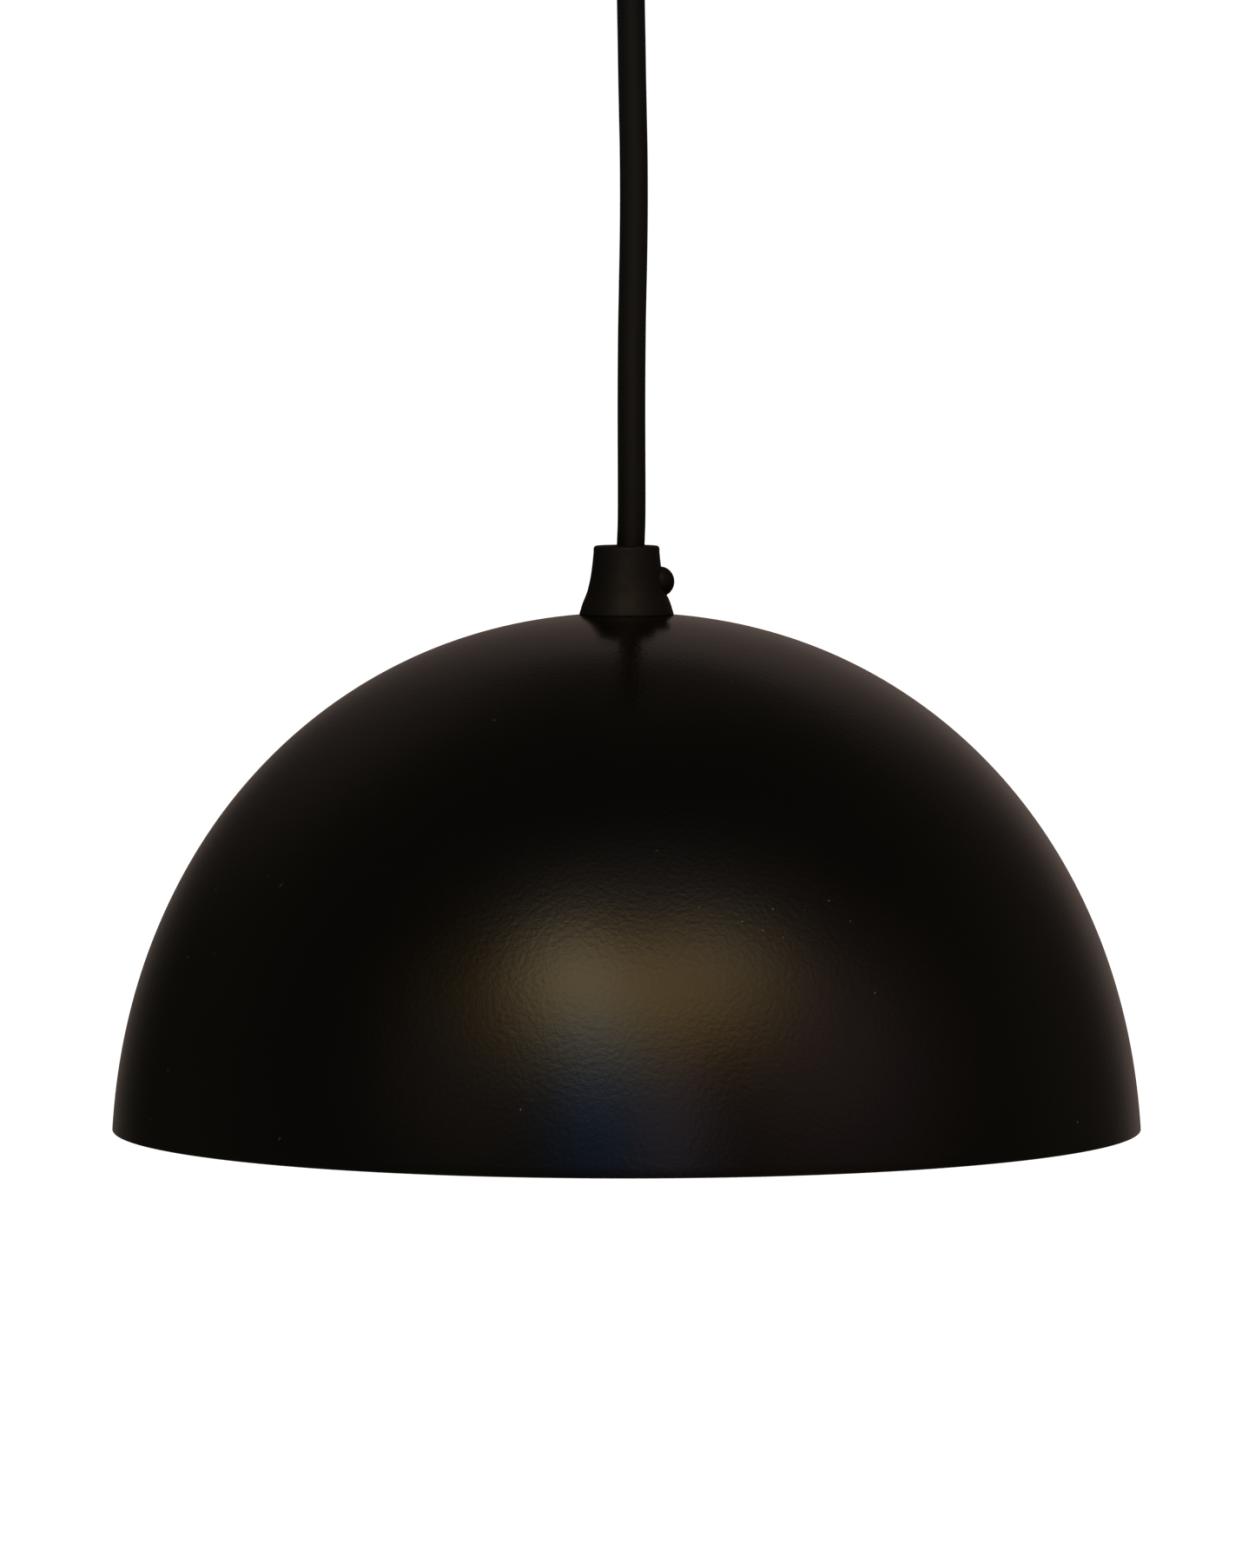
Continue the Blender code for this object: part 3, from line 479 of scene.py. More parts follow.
LOOKS = {
    "black_paint": finish(
        "satin_black_paint", (0.0022, 0.0017, 0.0012), (0.0016, 0.0012, 0.0008), (0.18, 0.205),
        [(840, 4.7e-5, 2.0, None), (2100, 9.0e-6, 2.0, None)], mottle=30,
        specks=(450, 0.11, 0.006, (0.26, 0.23, 0.19)),
        dusty=((0.042, -0.101, -0.267), 0.026, 3.0, 0.85),
        hairs=(380, 0.09, 0.05, (0.085, 0.078, 0.070), (0, math.radians(38), 0), (0.07, 1, 1)),
    ),
    "inner_white": finish(
        "satin_white_inner_coat", (0.80, 0.79, 0.75), (0.74, 0.73, 0.69), (0.42, 0.50),
        [(430, 1.6e-5, 2.0, None)], mottle=25,
    ),
    "black_plastic": finish(
        "moulded_black_plastic", (0.0078, 0.0073, 0.0090), (0.0060, 0.0056, 0.0070), (0.56, 0.66),
        [(2600, 8.0e-6, 2.0, None), (600, 1.2e-5, 2.0, None)], mottle=180, ior=1.42,
    ),
    "black_sheath": finish(
        "black_pvc_sheath", (0.0050, 0.0047, 0.0044), (0.0038, 0.0036, 0.0034), (0.50, 0.58),
        [(900, 7.0e-6, 2.0, (1, 1, 0.04)), (2200, 2.5e-6, 1.0, None)], mottle=400,
        stretch=(1, 1, 0.05), ior=1.40,
    ),
    "black_screw": finish(
        "black_coated_steel", (0.0062, 0.0058, 0.0056), (0.0048, 0.0045, 0.0044), (0.58, 0.68),
        [(3200, 2.5e-6, 2.0, None)], mottle=600, ior=1.38,
    ),
    "zinc": finish(
        "zinc_plated_steel", (0.60, 0.60, 0.62), (0.44, 0.44, 0.46), (0.28, 0.44),
        [(1800, 2.5e-6, 3.0, (1, 0.15, 1)), (260, 6.0e-6, 2.0, None)], mottle=220, metallic=1.0,
    ),
    "nickel": finish(
        "bright_plated_cap", (0.66, 0.65, 0.62), (0.52, 0.51, 0.49), (0.20, 0.32),
        [(2600, 1.8e-6, 2.0, (0.3, 0.3, 1))], mottle=350, metallic=1.0,
    ),
    "brass": finish(
        "plain_brass", (0.74, 0.52, 0.22), (0.55, 0.36, 0.14), (0.22, 0.38),
        [(2600, 2.2e-6, 2.0, None)], mottle=420, metallic=1.0,
    ),
    "bare_copper": finish(
        "bare_copper_strands", (0.80, 0.40, 0.24), (0.62, 0.28, 0.16), (0.28, 0.42),
        [(3000, 4.0e-6, 2.0, (1, 1, 0.2))], mottle=700, metallic=1.0,
    ),
    "ceramic": finish(
        "glazed_porcelain", (0.80, 0.77, 0.70), (0.71, 0.68, 0.61), (0.16, 0.30),
        [(700, 1.0e-5, 2.0, None)], mottle=160,
        specks=(900, 0.12, 0.10, (0.40, 0.33, 0.24)),
    ),
    "white_plastic": finish(
        "moulded_white_plastic", (0.80, 0.80, 0.78), (0.74, 0.74, 0.71), (0.38, 0.50),
        [(1900, 4.0e-6, 2.0, None)], mottle=140,
    ),
    "black_glass": finish(
        "black_vitreous_glass", (0.012, 0.012, 0.014), (0.006, 0.006, 0.008), (0.06, 0.16),
        [(700, 8.0e-6, 2.0, None)], mottle=260,
    ),
    "opal": finish(
        "opal_diffuser", (0.86, 0.85, 0.82), (0.82, 0.81, 0.775), (0.22, 0.30),
        [(500, 6.0e-6, 2.0, None)], mottle=60,
    ),
    "brown_insulation": insulation("brown_insulation", (0.16, 0.055, 0.024), (0.11, 0.038, 0.017)),
    "blue_insulation": insulation("blue_insulation", (0.022, 0.12, 0.45), (0.015, 0.085, 0.34)),
    "earth_insulation": insulation(
        "green_yellow_insulation", (0.045, 0.26, 0.035), (0.032, 0.20, 0.026), two_tone((0.72, 0.56, 0.03))
    ),
}

SLOTS = {part["node"]: part["material_slot"] for part in frame["record"]["subparts"]}
BODIES = {node: body for body, nodes in frame["record"]["behaviour"]["bodies"].items() for node in nodes}
# A real cord is longer, with the canopy far above: too far to be mirrored in the dome.
UNMIRRORED = ("ceiling_bracket", "canopy", "canopy_grip_screw")


def stand_in(obj, node, rides=True):
    """Puts a detailed piece in a CAD node's place, with its slot's material."""
    obj.data.materials.clear()
    obj.data.materials.append(LOOKS[SLOTS[node]])
    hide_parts(node)
    obj.visible_glossy = BODIES[node] not in UNMIRRORED
    if rides:
        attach(obj, BODIES[node])
    return obj


# -------- camera
def make_camera():
    """A long lens, a little above the rim's level, chosen for a frame of 1445 by 1806."""
    target = Vector((0.00023, 0, SHADE_RIM_Z + 0.0837))
    distance, elevation = 2.32, math.radians(3.39)
    data = bpy.data.cameras.new("camera")
    data.sensor_width = 36.0
    data.lens = 219.3
    data.clip_start, data.clip_end = 0.05, 2000.0
    camera = in_scene("camera", data)
    back = Vector((0, -math.cos(elevation), math.sin(elevation)))
    camera.location = target + back * distance
    camera.rotation_mode = "QUATERNION"
    camera.rotation_quaternion = (-back).to_track_quat("-Z", "Y")
    SCENE.camera = camera


# -------- the cord
def make_cord():
    """One smooth sheath from grip to grip."""
    spacing = 0.0016
    line = smooth_route([(x, y, SHADE_MOUTH_Z + height) for height, x, y in CORD_ROUTE], spacing)
    down = (line[0] - line[1]).normalized()
    up = (line[-1] - line[-2]).normalized()
    line = [line[0] + down * CORD_OVERLAP, *line, line[-1] + up * CORD_OVERLAP]
    cord = tube("cord_sheath", line, CORD_RADIUS, 40)
    stand_in(cord, "cord", rides=False)
    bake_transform(cord)


# -------- the shade
def dome_point(turn, inset):
    """A point of the dome, at turn 0 on the axis and 1 level with its centre, moved in by inset."""
    angle = math.radians(90 * turn)
    radius = math.sin(angle) ** (2 / DOME_POWER)
    height = math.cos(angle) ** (2 / DOME_POWER)
    scale = SHADE_RADIUS / (1 - (-DOME_CENTRE / DOME_HALF_HEIGHT) ** DOME_POWER) ** (1 / DOME_POWER)
    normal = Vector((radius ** (DOME_POWER - 1) / scale, height ** (DOME_POWER - 1) / DOME_HALF_HEIGHT))
    normal.normalize()
    point = Vector((radius * scale, height * DOME_HALF_HEIGHT)) - inset * normal
    return point.x, point.y + DOME_CENTRE


def uneven(radius, height, angle):
    """The slight waviness of spun sheet."""
    waves, rise = 32, 0.00004
    at = Vector((radius * math.cos(angle), radius * math.sin(angle), height)) * waves
    return radius + rise * noise.noise(at), height


def make_shade():
    """The spun dome, black outside and white inside. Its outline runs from the seat out to the rim."""
    steps = 72
    rim_turn = 2 / math.pi * math.acos((-DOME_CENTRE / DOME_HALF_HEIGHT) ** (DOME_POWER / 2))
    seat_turn = 2 / math.pi * math.asin((SEAT_RADIUS / SHADE_RADIUS) ** (DOME_POWER / 2))
    turns = [seat_turn + (rim_turn - seat_turn) * i / steps for i in range(steps + 1)]
    outer = [dome_point(turn, 0) for turn in turns]
    inner = [dome_point(turn, SHADE_WALL) for turn in turns]
    outer[0] = (outer[0][0], SHADE_HEIGHT)
    outer[-1] = (outer[-1][0], 0.0)
    under = SHADE_HEIGHT - SHADE_WALL
    inner[0] = (inner[0][0], under)
    inner[-1] = (inner[-1][0], 0.0)
    outline = [(THREAD_HOLE, SHADE_HEIGHT), *outer, *reversed(inner), (THREAD_HOLE, under)]
    shell = lathe("shade_dome", softened(outline, 0.00022), 216, form=uneven, smooth_below=60)
    placed(shell, (0, 0, SHADE_RIM_Z))
    stand_in(shell, "shade")
    shell.data.materials.append(LOOKS["inner_white"])
    centre = Vector((0, 0, SHADE_RIM_Z + DOME_CENTRE))
    for face in shell.data.polygons:
        away = face.center - centre
        level = face.center.z - SHADE_RIM_Z
        if face.normal.dot(away.normalized()) < -0.6 and level > 0.0001:
            face.material_index = 1


# -------- grips and screws
def grip_outline(foot):
    """The bell's (radius, height) outline. foot is its underside, from the bore outwards."""
    top = GRIP_HEIGHT
    flare = smooth_route([(radius, 0, height) for height, radius in GRIP_PROFILE], 0.0005)
    corner = arc((flare[0].x - GRIP_CORNER, top - GRIP_CORNER), GRIP_CORNER, 90, 0, 6)
    outline = [
        (GRIP_MOUTH_RADIUS, top),
        *corner,
        *((point.x, point.z) for point in flare),
        *reversed(foot),
        (THREAD_HOLE, GRIP_THREAD_DEPTH),
        (GRIP_BORE, GRIP_THREAD_DEPTH),
        (GRIP_BORE, top - GRIP_MOUTH_DEPTH),
    ]
    return softened(outline, 0.0003)


def dome_drop(radius):
    """How far the dome lies below its seat at a radius."""
    low, high = 0.0, 1.0
    for _ in range(40):
        middle = (low + high) / 2
        low, high = (middle, high) if dome_point(middle, 0)[0] < radius else (low, middle)
    return SHADE_HEIGHT - dome_point(low, 0)[1]


def make_grip(name, node, foot_z, way, foot):
    """A bell-shaped grip that stands on a height, up or down, with the clamp screw's hole in its side."""
    bell = lathe(name, grip_outline(foot), 96)
    placed(bell, (0, 0, foot_z), (0, 0, way))
    pocket = GRIP_SCREW_HEAD + 0.00006
    hole = SIDE_SCREW_RADIUS + 0.0002
    seat = GRIP_HEAD_SEAT - 0.0001
    outside, inside = 0.0135, 0.002
    outline = [(0, outside), (pocket, outside), (pocket, seat), (hole, seat), (hole, inside), (0, inside)]
    cutter = lathe(name + "_cutter", outline, 48)
    placed(cutter, (0, 0, foot_z + way * GRIP_SCREW_HEIGHT), (1, 0, 0))
    stand_in(carved(bell, cutter), node)


def make_grips():
    """The upper grip's foot is flat, and the lower one's follows the dome."""
    below = FIT_GAP - 0.00002
    flat = [(THREAD_HOLE, -below), (GRIP_FOOT_RADIUS, -below)]
    make_grip("bell_grip_upper", "canopy_grip", CANOPY_GRIP_Z, -1, flat)
    radii = [SEAT_RADIUS + (GRIP_FOOT_RADIUS - SEAT_RADIUS) * i / 4 for i in range(5)]
    hugging = [(THREAD_HOLE, -below), *((r, -below - max(0.0, dome_drop(r))) for r in radii)]
    make_grip("bell_grip_lower", "shade_grip", SHADE_GRIP_Z, 1, hugging)


def round_screw(name, head, dome, shank, length, at, axis, fullness=2.15, collar=0.0, turn=0.0):
    """A slotted screw. Its head's underside is at a point, and its head is along axis.

    fullness is the superellipse's power of the dome, which stands on a straight collar.
    """
    steps = 14
    outline = [(0, collar + dome)]
    for i in range(1, steps + 1):
        angle = math.pi / 2 * i / steps
        out, up = math.sin(angle) ** (2 / fullness), max(0.0, math.cos(angle)) ** (2 / fullness)
        outline.append((head * out, collar + dome * up))
    outline[-1] = (head, collar)
    outline += [(head, 0)] if collar else []
    outline += [(shank, 0), (shank, 0.0006 - length), (shank * 0.7, -length), (0, -length)]
    screw = lathe(name, softened(outline, 0.00012), 48)
    slot_size = (head * 2.6, head * 0.26, dome * 0.62)
    carved(screw, block(name + "_slot", slot_size, (0, 0, collar + dome)))
    return placed(screw, at, axis, turn)


def make_screws():
    length = GRIP_HEAD_SEAT - GRIP_SCREW_TIP
    collar = GRIP_HEAD_CENTRE - GRIP_HEAD_SEAT
    dome = GRIP_SCREW_SEAT + GRIP_SCREW_DOME - GRIP_HEAD_CENTRE
    shape = (GRIP_SCREW_HEAD, dome, SIDE_SCREW_RADIUS, length)
    for name, node, z in (
        ("clamp_screw_upper", "canopy_grip_screw", CANOPY_GRIP_Z - GRIP_SCREW_HEIGHT),
        ("clamp_screw_lower", "shade_grip_screw", SHADE_GRIP_Z + GRIP_SCREW_HEIGHT),
    ):
        stand_in(round_screw(name, *shape, (GRIP_HEAD_SEAT, 0, z), (1, 0, 0), 2.0, collar), node)
    for side, node in ((-1, "canopy_side_screw_left"), (1, "canopy_side_screw_right")):
        at = (side * (CUP_RADIUS + FIT_GAP), 0, SIDE_SCREW_Z)
        stand_in(round_screw(node + "_head", *SIDE_SCREW, at, (side, 0, 0), 2.6, turn=25 * side), node)
    at = (EARTH_SCREW_X, 0, span("ceiling_bracket")[1] - BRACKET_THICK - FIT_GAP)
    stand_in(round_screw("earth_clamp_screw", *EARTH_SCREW, at, (0, 0, -1), 2.8), "bracket_earth_screw")


# -------- small hardware
def levels(top, bottom, spacing):
    """Heights from top to bottom, about spacing apart."""
    count = max(1, round((top - bottom) / spacing))
    return [top + (bottom - top) * i / count for i in range(count + 1)]


def threading(pitch, depth, near, top, bottom):
    """A lathe form that cuts a rolled thread into surfaces whose radius is near one of some values."""

    def form(radius, height, angle):
        if bottom < height < top and any(abs(radius - value) < TINY for value in near):
            fade = min(1.0, (top - height) / pitch, (height - bottom) / pitch)
            turn = height / pitch - angle / math.tau
            radius -= depth * fade * (0.5 - 0.5 * math.cos(math.tau * turn))
        return radius, height

    return form


def make_nipple(name, node):
    """A threaded tube with chamfered ends."""
    bottom, top = span(node)
    chamfer = 0.0004
    edge = NIPPLE_RADIUS - chamfer
    outline = [(NIPPLE_BORE, top), (edge, top)]
    outline += [(NIPPLE_RADIUS, z) for z in levels(top - chamfer, bottom + chamfer, FINE_THREAD_PITCH / 6)]
    outline += [(edge, bottom), (NIPPLE_BORE, bottom)]
    form = threading(FINE_THREAD_PITCH, 0.0005, (NIPPLE_RADIUS,), top, bottom)
    stand_in(lathe(name, outline, 48, form=form, smooth_below=60), node)


def make_nut(name, node):
    """A round disc with bevelled edges, crossed with a hexagon."""
    bottom, top = span(node)
    flat = NUT_CORNER * math.cos(math.pi / 6) - 0.0001
    rise, over = 0.0004, 0.001
    outline = [(THREAD_HOLE, top), (flat, top), (NUT_CORNER, top - rise)]
    outline += [(NUT_CORNER, bottom + rise), (flat, bottom), (THREAD_HOLE, bottom)]
    nut = lathe(name, outline, 96)
    top, bottom = top + over, bottom - over
    outline = [(0, top), (NUT_CORNER, top), (NUT_CORNER, bottom), (0, bottom)]
    hexagon = lathe(name + "_sides", outline, 6)
    stand_in(carved(nut, hexagon, operation="INTERSECT"), node)


def make_washer(name, node):
    bottom, top = span(node)
    outline = [(THREAD_HOLE, top), (WASHER_RADIUS, top), (WASHER_RADIUS, bottom), (THREAD_HOLE, bottom)]
    stand_in(lathe(name, softened(outline, 0.0002), 72), node)


def make_earth_tag(name, node, reach, turn):
    """A ring with a flat lug, which reaches this far from the axis, is rounded and has an eyelet."""
    bottom, top = span(node)
    middle, thick = (bottom + top) / 2, top - bottom
    up, through = thick / 2, 0.01
    half, root = 0.0016, 0.004
    tip = reach - half
    outline = [(0, up), (EARTH_TAG_RADIUS, up), (EARTH_TAG_RADIUS, -up), (0, -up)]
    ring = lathe(name, outline, 72)
    lug = block(name + "_lug", (tip - root, 2 * half, thick), ((tip + root) / 2, 0, 0))
    end = rod(name + "_end", half, thick, (tip, 0, 0))
    carved(ring, lug, end, operation="UNION")
    hole = rod(name + "_hole", THREAD_HOLE, through, sides=72)
    eyelet = rod(name + "_eye", EYELET_RADIUS, through, (tip, 0, 0))
    carved(ring, hole, eyelet)
    ease(ring.data, 0.0001)
    stand_in(placed(ring, (0, 0, middle), turn=turn), node)


def ease(mesh, width):
    """Rounds a mesh's sharp edges slightly."""
    flat, sharp = math.radians(1), 0.6  # angles between faces
    with edited(mesh) as shape:
        bmesh.ops.remove_doubles(shape, verts=shape.verts, dist=TINY)
        bmesh.ops.dissolve_limit(
            shape, angle_limit=flat, verts=shape.verts, edges=shape.edges, delimit={"NORMAL"}
        )
        folds = [edge for edge in shape.edges if len(edge.link_faces) == 2]
        folds = [edge for edge in folds if edge.calc_face_angle() > sharp]
        bmesh.ops.bevel(
            shape, geom=folds, offset=width, segments=2, profile=0.5, affect="EDGES", clamp_overlap=True
        )
    smoothed(mesh)


def make_strap():
    """The CAD's own strap, with its edges eased."""
    mesh = frame["nodes"]["ceiling_bracket"].data.copy()
    ease(mesh, 0.00025)
    stand_in(new_piece("ceiling_strap", mesh), "ceiling_bracket")


def make_tube(name, node, route, radius, sides):
    return stand_in(tube(name, smooth_route(route, radius / 2), radius, sides), node)


def make_wire(name, node, route, bare):
    """An insulated core, and the bare conductor out of its end along a second route."""
    wire = make_tube(name, node, route, CORE_RADIUS, 16)
    strands = tube(name + "_bare", smooth_route(bare, 0.0003), BARE_RADIUS, 12)
    with edited(wire.data) as shape:
        covered = len(shape.faces)
        shape.from_mesh(strands.data)
        for face in list(shape.faces)[covered:]:
            face.material_index = 1
    bpy.data.objects.remove(strands, do_unlink=True)
    wire.data.materials.append(LOOKS["bare_copper"])


# -------- the canopy
def make_canopy():
    """The ceiling cup with its open side slots, and everything in it."""
    corner = (CUP_RADIUS - CUP_CORNER, CUP_BOTTOM_Z + CUP_CORNER)
    floor = CUP_BOTTOM_Z + CUP_WALL
    outline = [(CUP_RADIUS, CUP_TOP_Z), *arc(corner, CUP_CORNER, 0, -90, 12)]
    outline += [(THREAD_HOLE, CUP_BOTTOM_Z), (THREAD_HOLE, floor)]
    outline += [*arc(corner, CUP_CORNER - CUP_WALL, -90, 0, 10), (CUP_RADIUS - CUP_WALL, CUP_TOP_Z)]
    cup = lathe("canopy_shell", softened(outline, 0.0003), 144)
    top, through = CUP_TOP_Z + 0.001, 0.008
    for side in (-1, 1):
        x = side * (CUP_RADIUS - CUP_WALL)
        size = (through, SIDE_SLOT_WIDTH, top - SIDE_SCREW_Z)
        opening = block(f"cup_slot_{side}", size, (x, 0, (top + SIDE_SCREW_Z) / 2))
        at = (x, 0, SIDE_SCREW_Z)
        end = rod(f"cup_slot_end_{side}", SIDE_SLOT_WIDTH / 2, through, at, (side, 0, 0))
        carved(cup, opening, end)
    stand_in(cup, "canopy_cup")
    make_nipple("canopy_threaded_tube", "canopy_nipple")
    make_washer("canopy_lock_washer", "canopy_washer")
    make_nut("canopy_hex_nut", "canopy_nut")
    make_earth_tag("canopy_earth_ring", "canopy_earth_tag", 0.0135, 180)
    make_strap()

    sheath_end = floor + 0.0095
    route = [
        (0, 0, sheath_end),
        (0, 0, floor + 0.003),
        (0.0003, 0, CANOPY_GRIP_Z - 0.004),
        (0.0007, 0, CANOPY_MOUTH_Z + 0.006),
        (CORD_OFFSET, 0, CANOPY_MOUTH_Z + GRIP_PIVOT_DEPTH + CORD_END_CLEARANCE),
    ]
    make_tube("canopy_sheath_end", "canopy_cord_tail", route, TAIL_RADIUS, 32)
    block_size = Vector((0.025, 0.017, 0.011))
    centre = Vector((0, 0.0275, floor + 0.006))
    entry = centre.y - block_size.y / 2
    for pole, name in POLES:
        x = pole * POLE_SPACING
        route = [
            (pole * 0.0021, 0, sheath_end + FIT_GAP),
            (pole * 0.0028, 0.0012, sheath_end + 0.004),
            (x * 0.75, 0.0075, sheath_end + 0.0055),
            (x, entry - 0.0035, centre.z + 0.0025),
            (x, entry + 0.001, centre.z - 0.001),
            (x, entry + 0.0045, centre.z - 0.001),
        ]
        bare = [(x, entry + 0.0035 + step, centre.z - 0.001) for step in (0, 0.002, 0.0045)]
        make_wire(f"canopy_wire_{name}", f"canopy_core_{name}", route, bare)
    make_terminal_block(centre, block_size)


def make_terminal_block(centre, size):
    """The moulding with its bores, wells and grooves, and each pole's brass tube and screws."""
    top = centre.z + size.z / 2
    sleeve_z = centre.z - 0.001
    half, bore = 0.0075, 0.0015
    moulding = block("terminal_moulding", size, centre, 0.0006)
    cutters = []
    for side in (-1, 1):
        at = (side * POLE_SPACING / 2, centre.y, top)
        cutters.append(block(f"block_groove_{side}", (0.0014, 0.03, 0.0024), at))
    for pole, name in POLES:
        x = pole * POLE_SPACING
        at = (x, centre.y, sleeve_z)
        cutters.append(rod(f"block_bore_{pole}", SLEEVE_RADIUS + FIT_GAP, 0.02, at, (0, 1, 0)))
        outline = [(SLEEVE_RADIUS, half), (SLEEVE_RADIUS, -half), (bore, -half), (bore, half)]
        sleeve = lathe(f"terminal_tube_{name}", softened(outline, 0.00015), 40)
        stand_in(placed(sleeve, at, (0, 1, 0)), f"terminal_sleeve_{name}")
        for end, end_name in ((-1, "lamp"), (1, "supply")):
            y = centre.y + end * 0.0039
            cutters.append(rod(f"block_well_{pole}_{end}", 0.0017, 0.0065, (x, y, top - 0.0022)))
            at = (x, y, sleeve_z + SLEEVE_RADIUS + FIT_GAP + 0.002)
            turn = 37 * pole + 61 * end
            grub = f"terminal_grub_{name}_{end_name}"
            screw = round_screw(grub, *BLOCK_SCREW, at, (0, 0, 1), 3.0, turn=turn)
            stand_in(screw, f"terminal_screw_{name}_{end_name}")
    stand_in(carved(moulding, *cutters), "terminal_block")


# -------- lampholder
def make_holder():
    make_nipple("shade_threaded_tube", "shade_nipple")
    make_washer("shade_lock_washer", "shade_washer")
    make_nut("shade_hex_nut", "shade_nut")
    make_earth_tag("holder_earth_ring", "holder_earth_tag", 0.0112, 90)
    make_holder_shell()
    make_holder_core()
    make_holder_wires()


def make_holder_shell():
    """The domed cover, and the skirt with its ribbed band."""
    neck, bend = 0.0082, 0.009
    neck_z = HOLDER_TOP_Z - 0.0078
    centre = (HOLDER_RADIUS - bend, HOLDER_SEAM_Z + 0.0065)
    outline = [(neck, HOLDER_TOP_Z), (neck, HOLDER_TOP_Z - 0.0045), *arc(centre, bend, 80, 0, 20)]
    outline += [(HOLDER_RADIUS, HOLDER_SEAM_Z), (HOLDER_RADIUS - HOLDER_WALL, HOLDER_SEAM_Z)]
    outline += arc(centre, bend - HOLDER_WALL, 0, 80, 20)
    outline += [(neck, neck_z), (THREAD_HOLE, neck_z), (THREAD_HOLE, HOLDER_TOP_Z)]
    stand_in(lathe("holder_domed_cover", softened(outline, 0.0004), 96), "holder_cap")

    top, mouth = HOLDER_SEAM_Z - FIT_GAP, HOLDER_MOUTH_Z
    narrow = HOLDER_RADIUS - 0.0012
    band = (0, 0.0007, 0.0011, 0.0108, 0.0112, 0.012)
    outline = [(HOLDER_RADIUS, top - below) for below in band]
    outline += [(narrow, top - 0.0132), (narrow, mouth + 0.0012), (narrow - 0.001, mouth)]
    outline += [(SOCKET_RADIUS, mouth), (SOCKET_RADIUS, INSERT_BOTTOM_Z - FIT_GAP)]
    outline += [(INSERT_RADIUS + FIT_GAP, INSERT_BOTTOM_Z - FIT_GAP), (INSERT_RADIUS + FIT_GAP, top)]

    ribs, depth = 44, 0.0005

    def ribbed(radius, height, angle):
        if abs(radius - HOLDER_RADIUS) < TINY and top - 0.011 < height < top - 0.0009:
            radius -= depth * (0.5 + 0.5 * math.cos(ribs * angle)) ** 2
        return radius, height

    skirt = lathe("holder_ribbed_shell", softened(outline, 0.0002), 6 * ribs, form=ribbed, smooth_below=50)
    stand_in(skirt, "holder_skirt")


def make_holder_core():
    """The porcelain, the screw shell, the centre contact and the two terminal screws."""
    outline = [(0.0022, INSERT_TOP_Z), (INSERT_RADIUS, INSERT_TOP_Z)]
    outline += [(INSERT_RADIUS, INSERT_BOTTOM_Z), (0.0022, INSERT_BOTTOM_Z)]
    core = lathe("holder_porcelain", softened(outline, 0.0005), 96)
    bores = [rod(f"porcelain_bore_{s}", 0.0017, 0.012, (s * TERMINAL_X, 0, INSERT_TOP_Z)) for s in (-1, 1)]
    stand_in(carved(core, *bores), "holder_insert")

    low, high = span("holder_screw_shell")
    outer = SOCKET_RADIUS - FIT_GAP
    inner, flange = outer - CONTACT_SHELL_WALL, 0.0105
    heights = levels(high, low, LAMP_THREAD_PITCH / 14)
    outline = [(outer, z) for z in heights]
    under = high - CONTACT_SHELL_WALL
    outline += [(inner, z) for z in reversed(heights) if z < under]
    outline += [(inner, under), (flange, under), (flange, high)]
    form = threading(LAMP_THREAD_PITCH, 0.0006, (outer, inner), high - 0.0006, low + 0.0003)
    stand_in(lathe("holder_threaded_shell", outline, 96, form=form, smooth_below=50), "holder_screw_shell")

    low, high = span("holder_centre_contact")
    top = INSERT_BOTTOM_Z - FIT_GAP
    outline = [(0, high), (0.0019, high), (0.0019, top), (0.0046, top), (0.0046, top - 0.0007)]
    outline += [(0.0022, low), (0, low)]
    contact = lathe("holder_contact_rivet", softened(outline, 0.00015), 48)
    stand_in(contact, "holder_centre_contact")
    for side, name in HOLDER_POLES:
        at = (side * TERMINAL_X, 0, INSERT_TOP_Z + HOLDER_HEAD_RISE)
        turn = 40 + 75 * side
        screw = round_screw(f"holder_terminal_{name}", *HOLDER_SCREW, at, (0, 0, 1), 2.6, turn=turn)
        stand_in(screw, f"holder_screw_{name}")


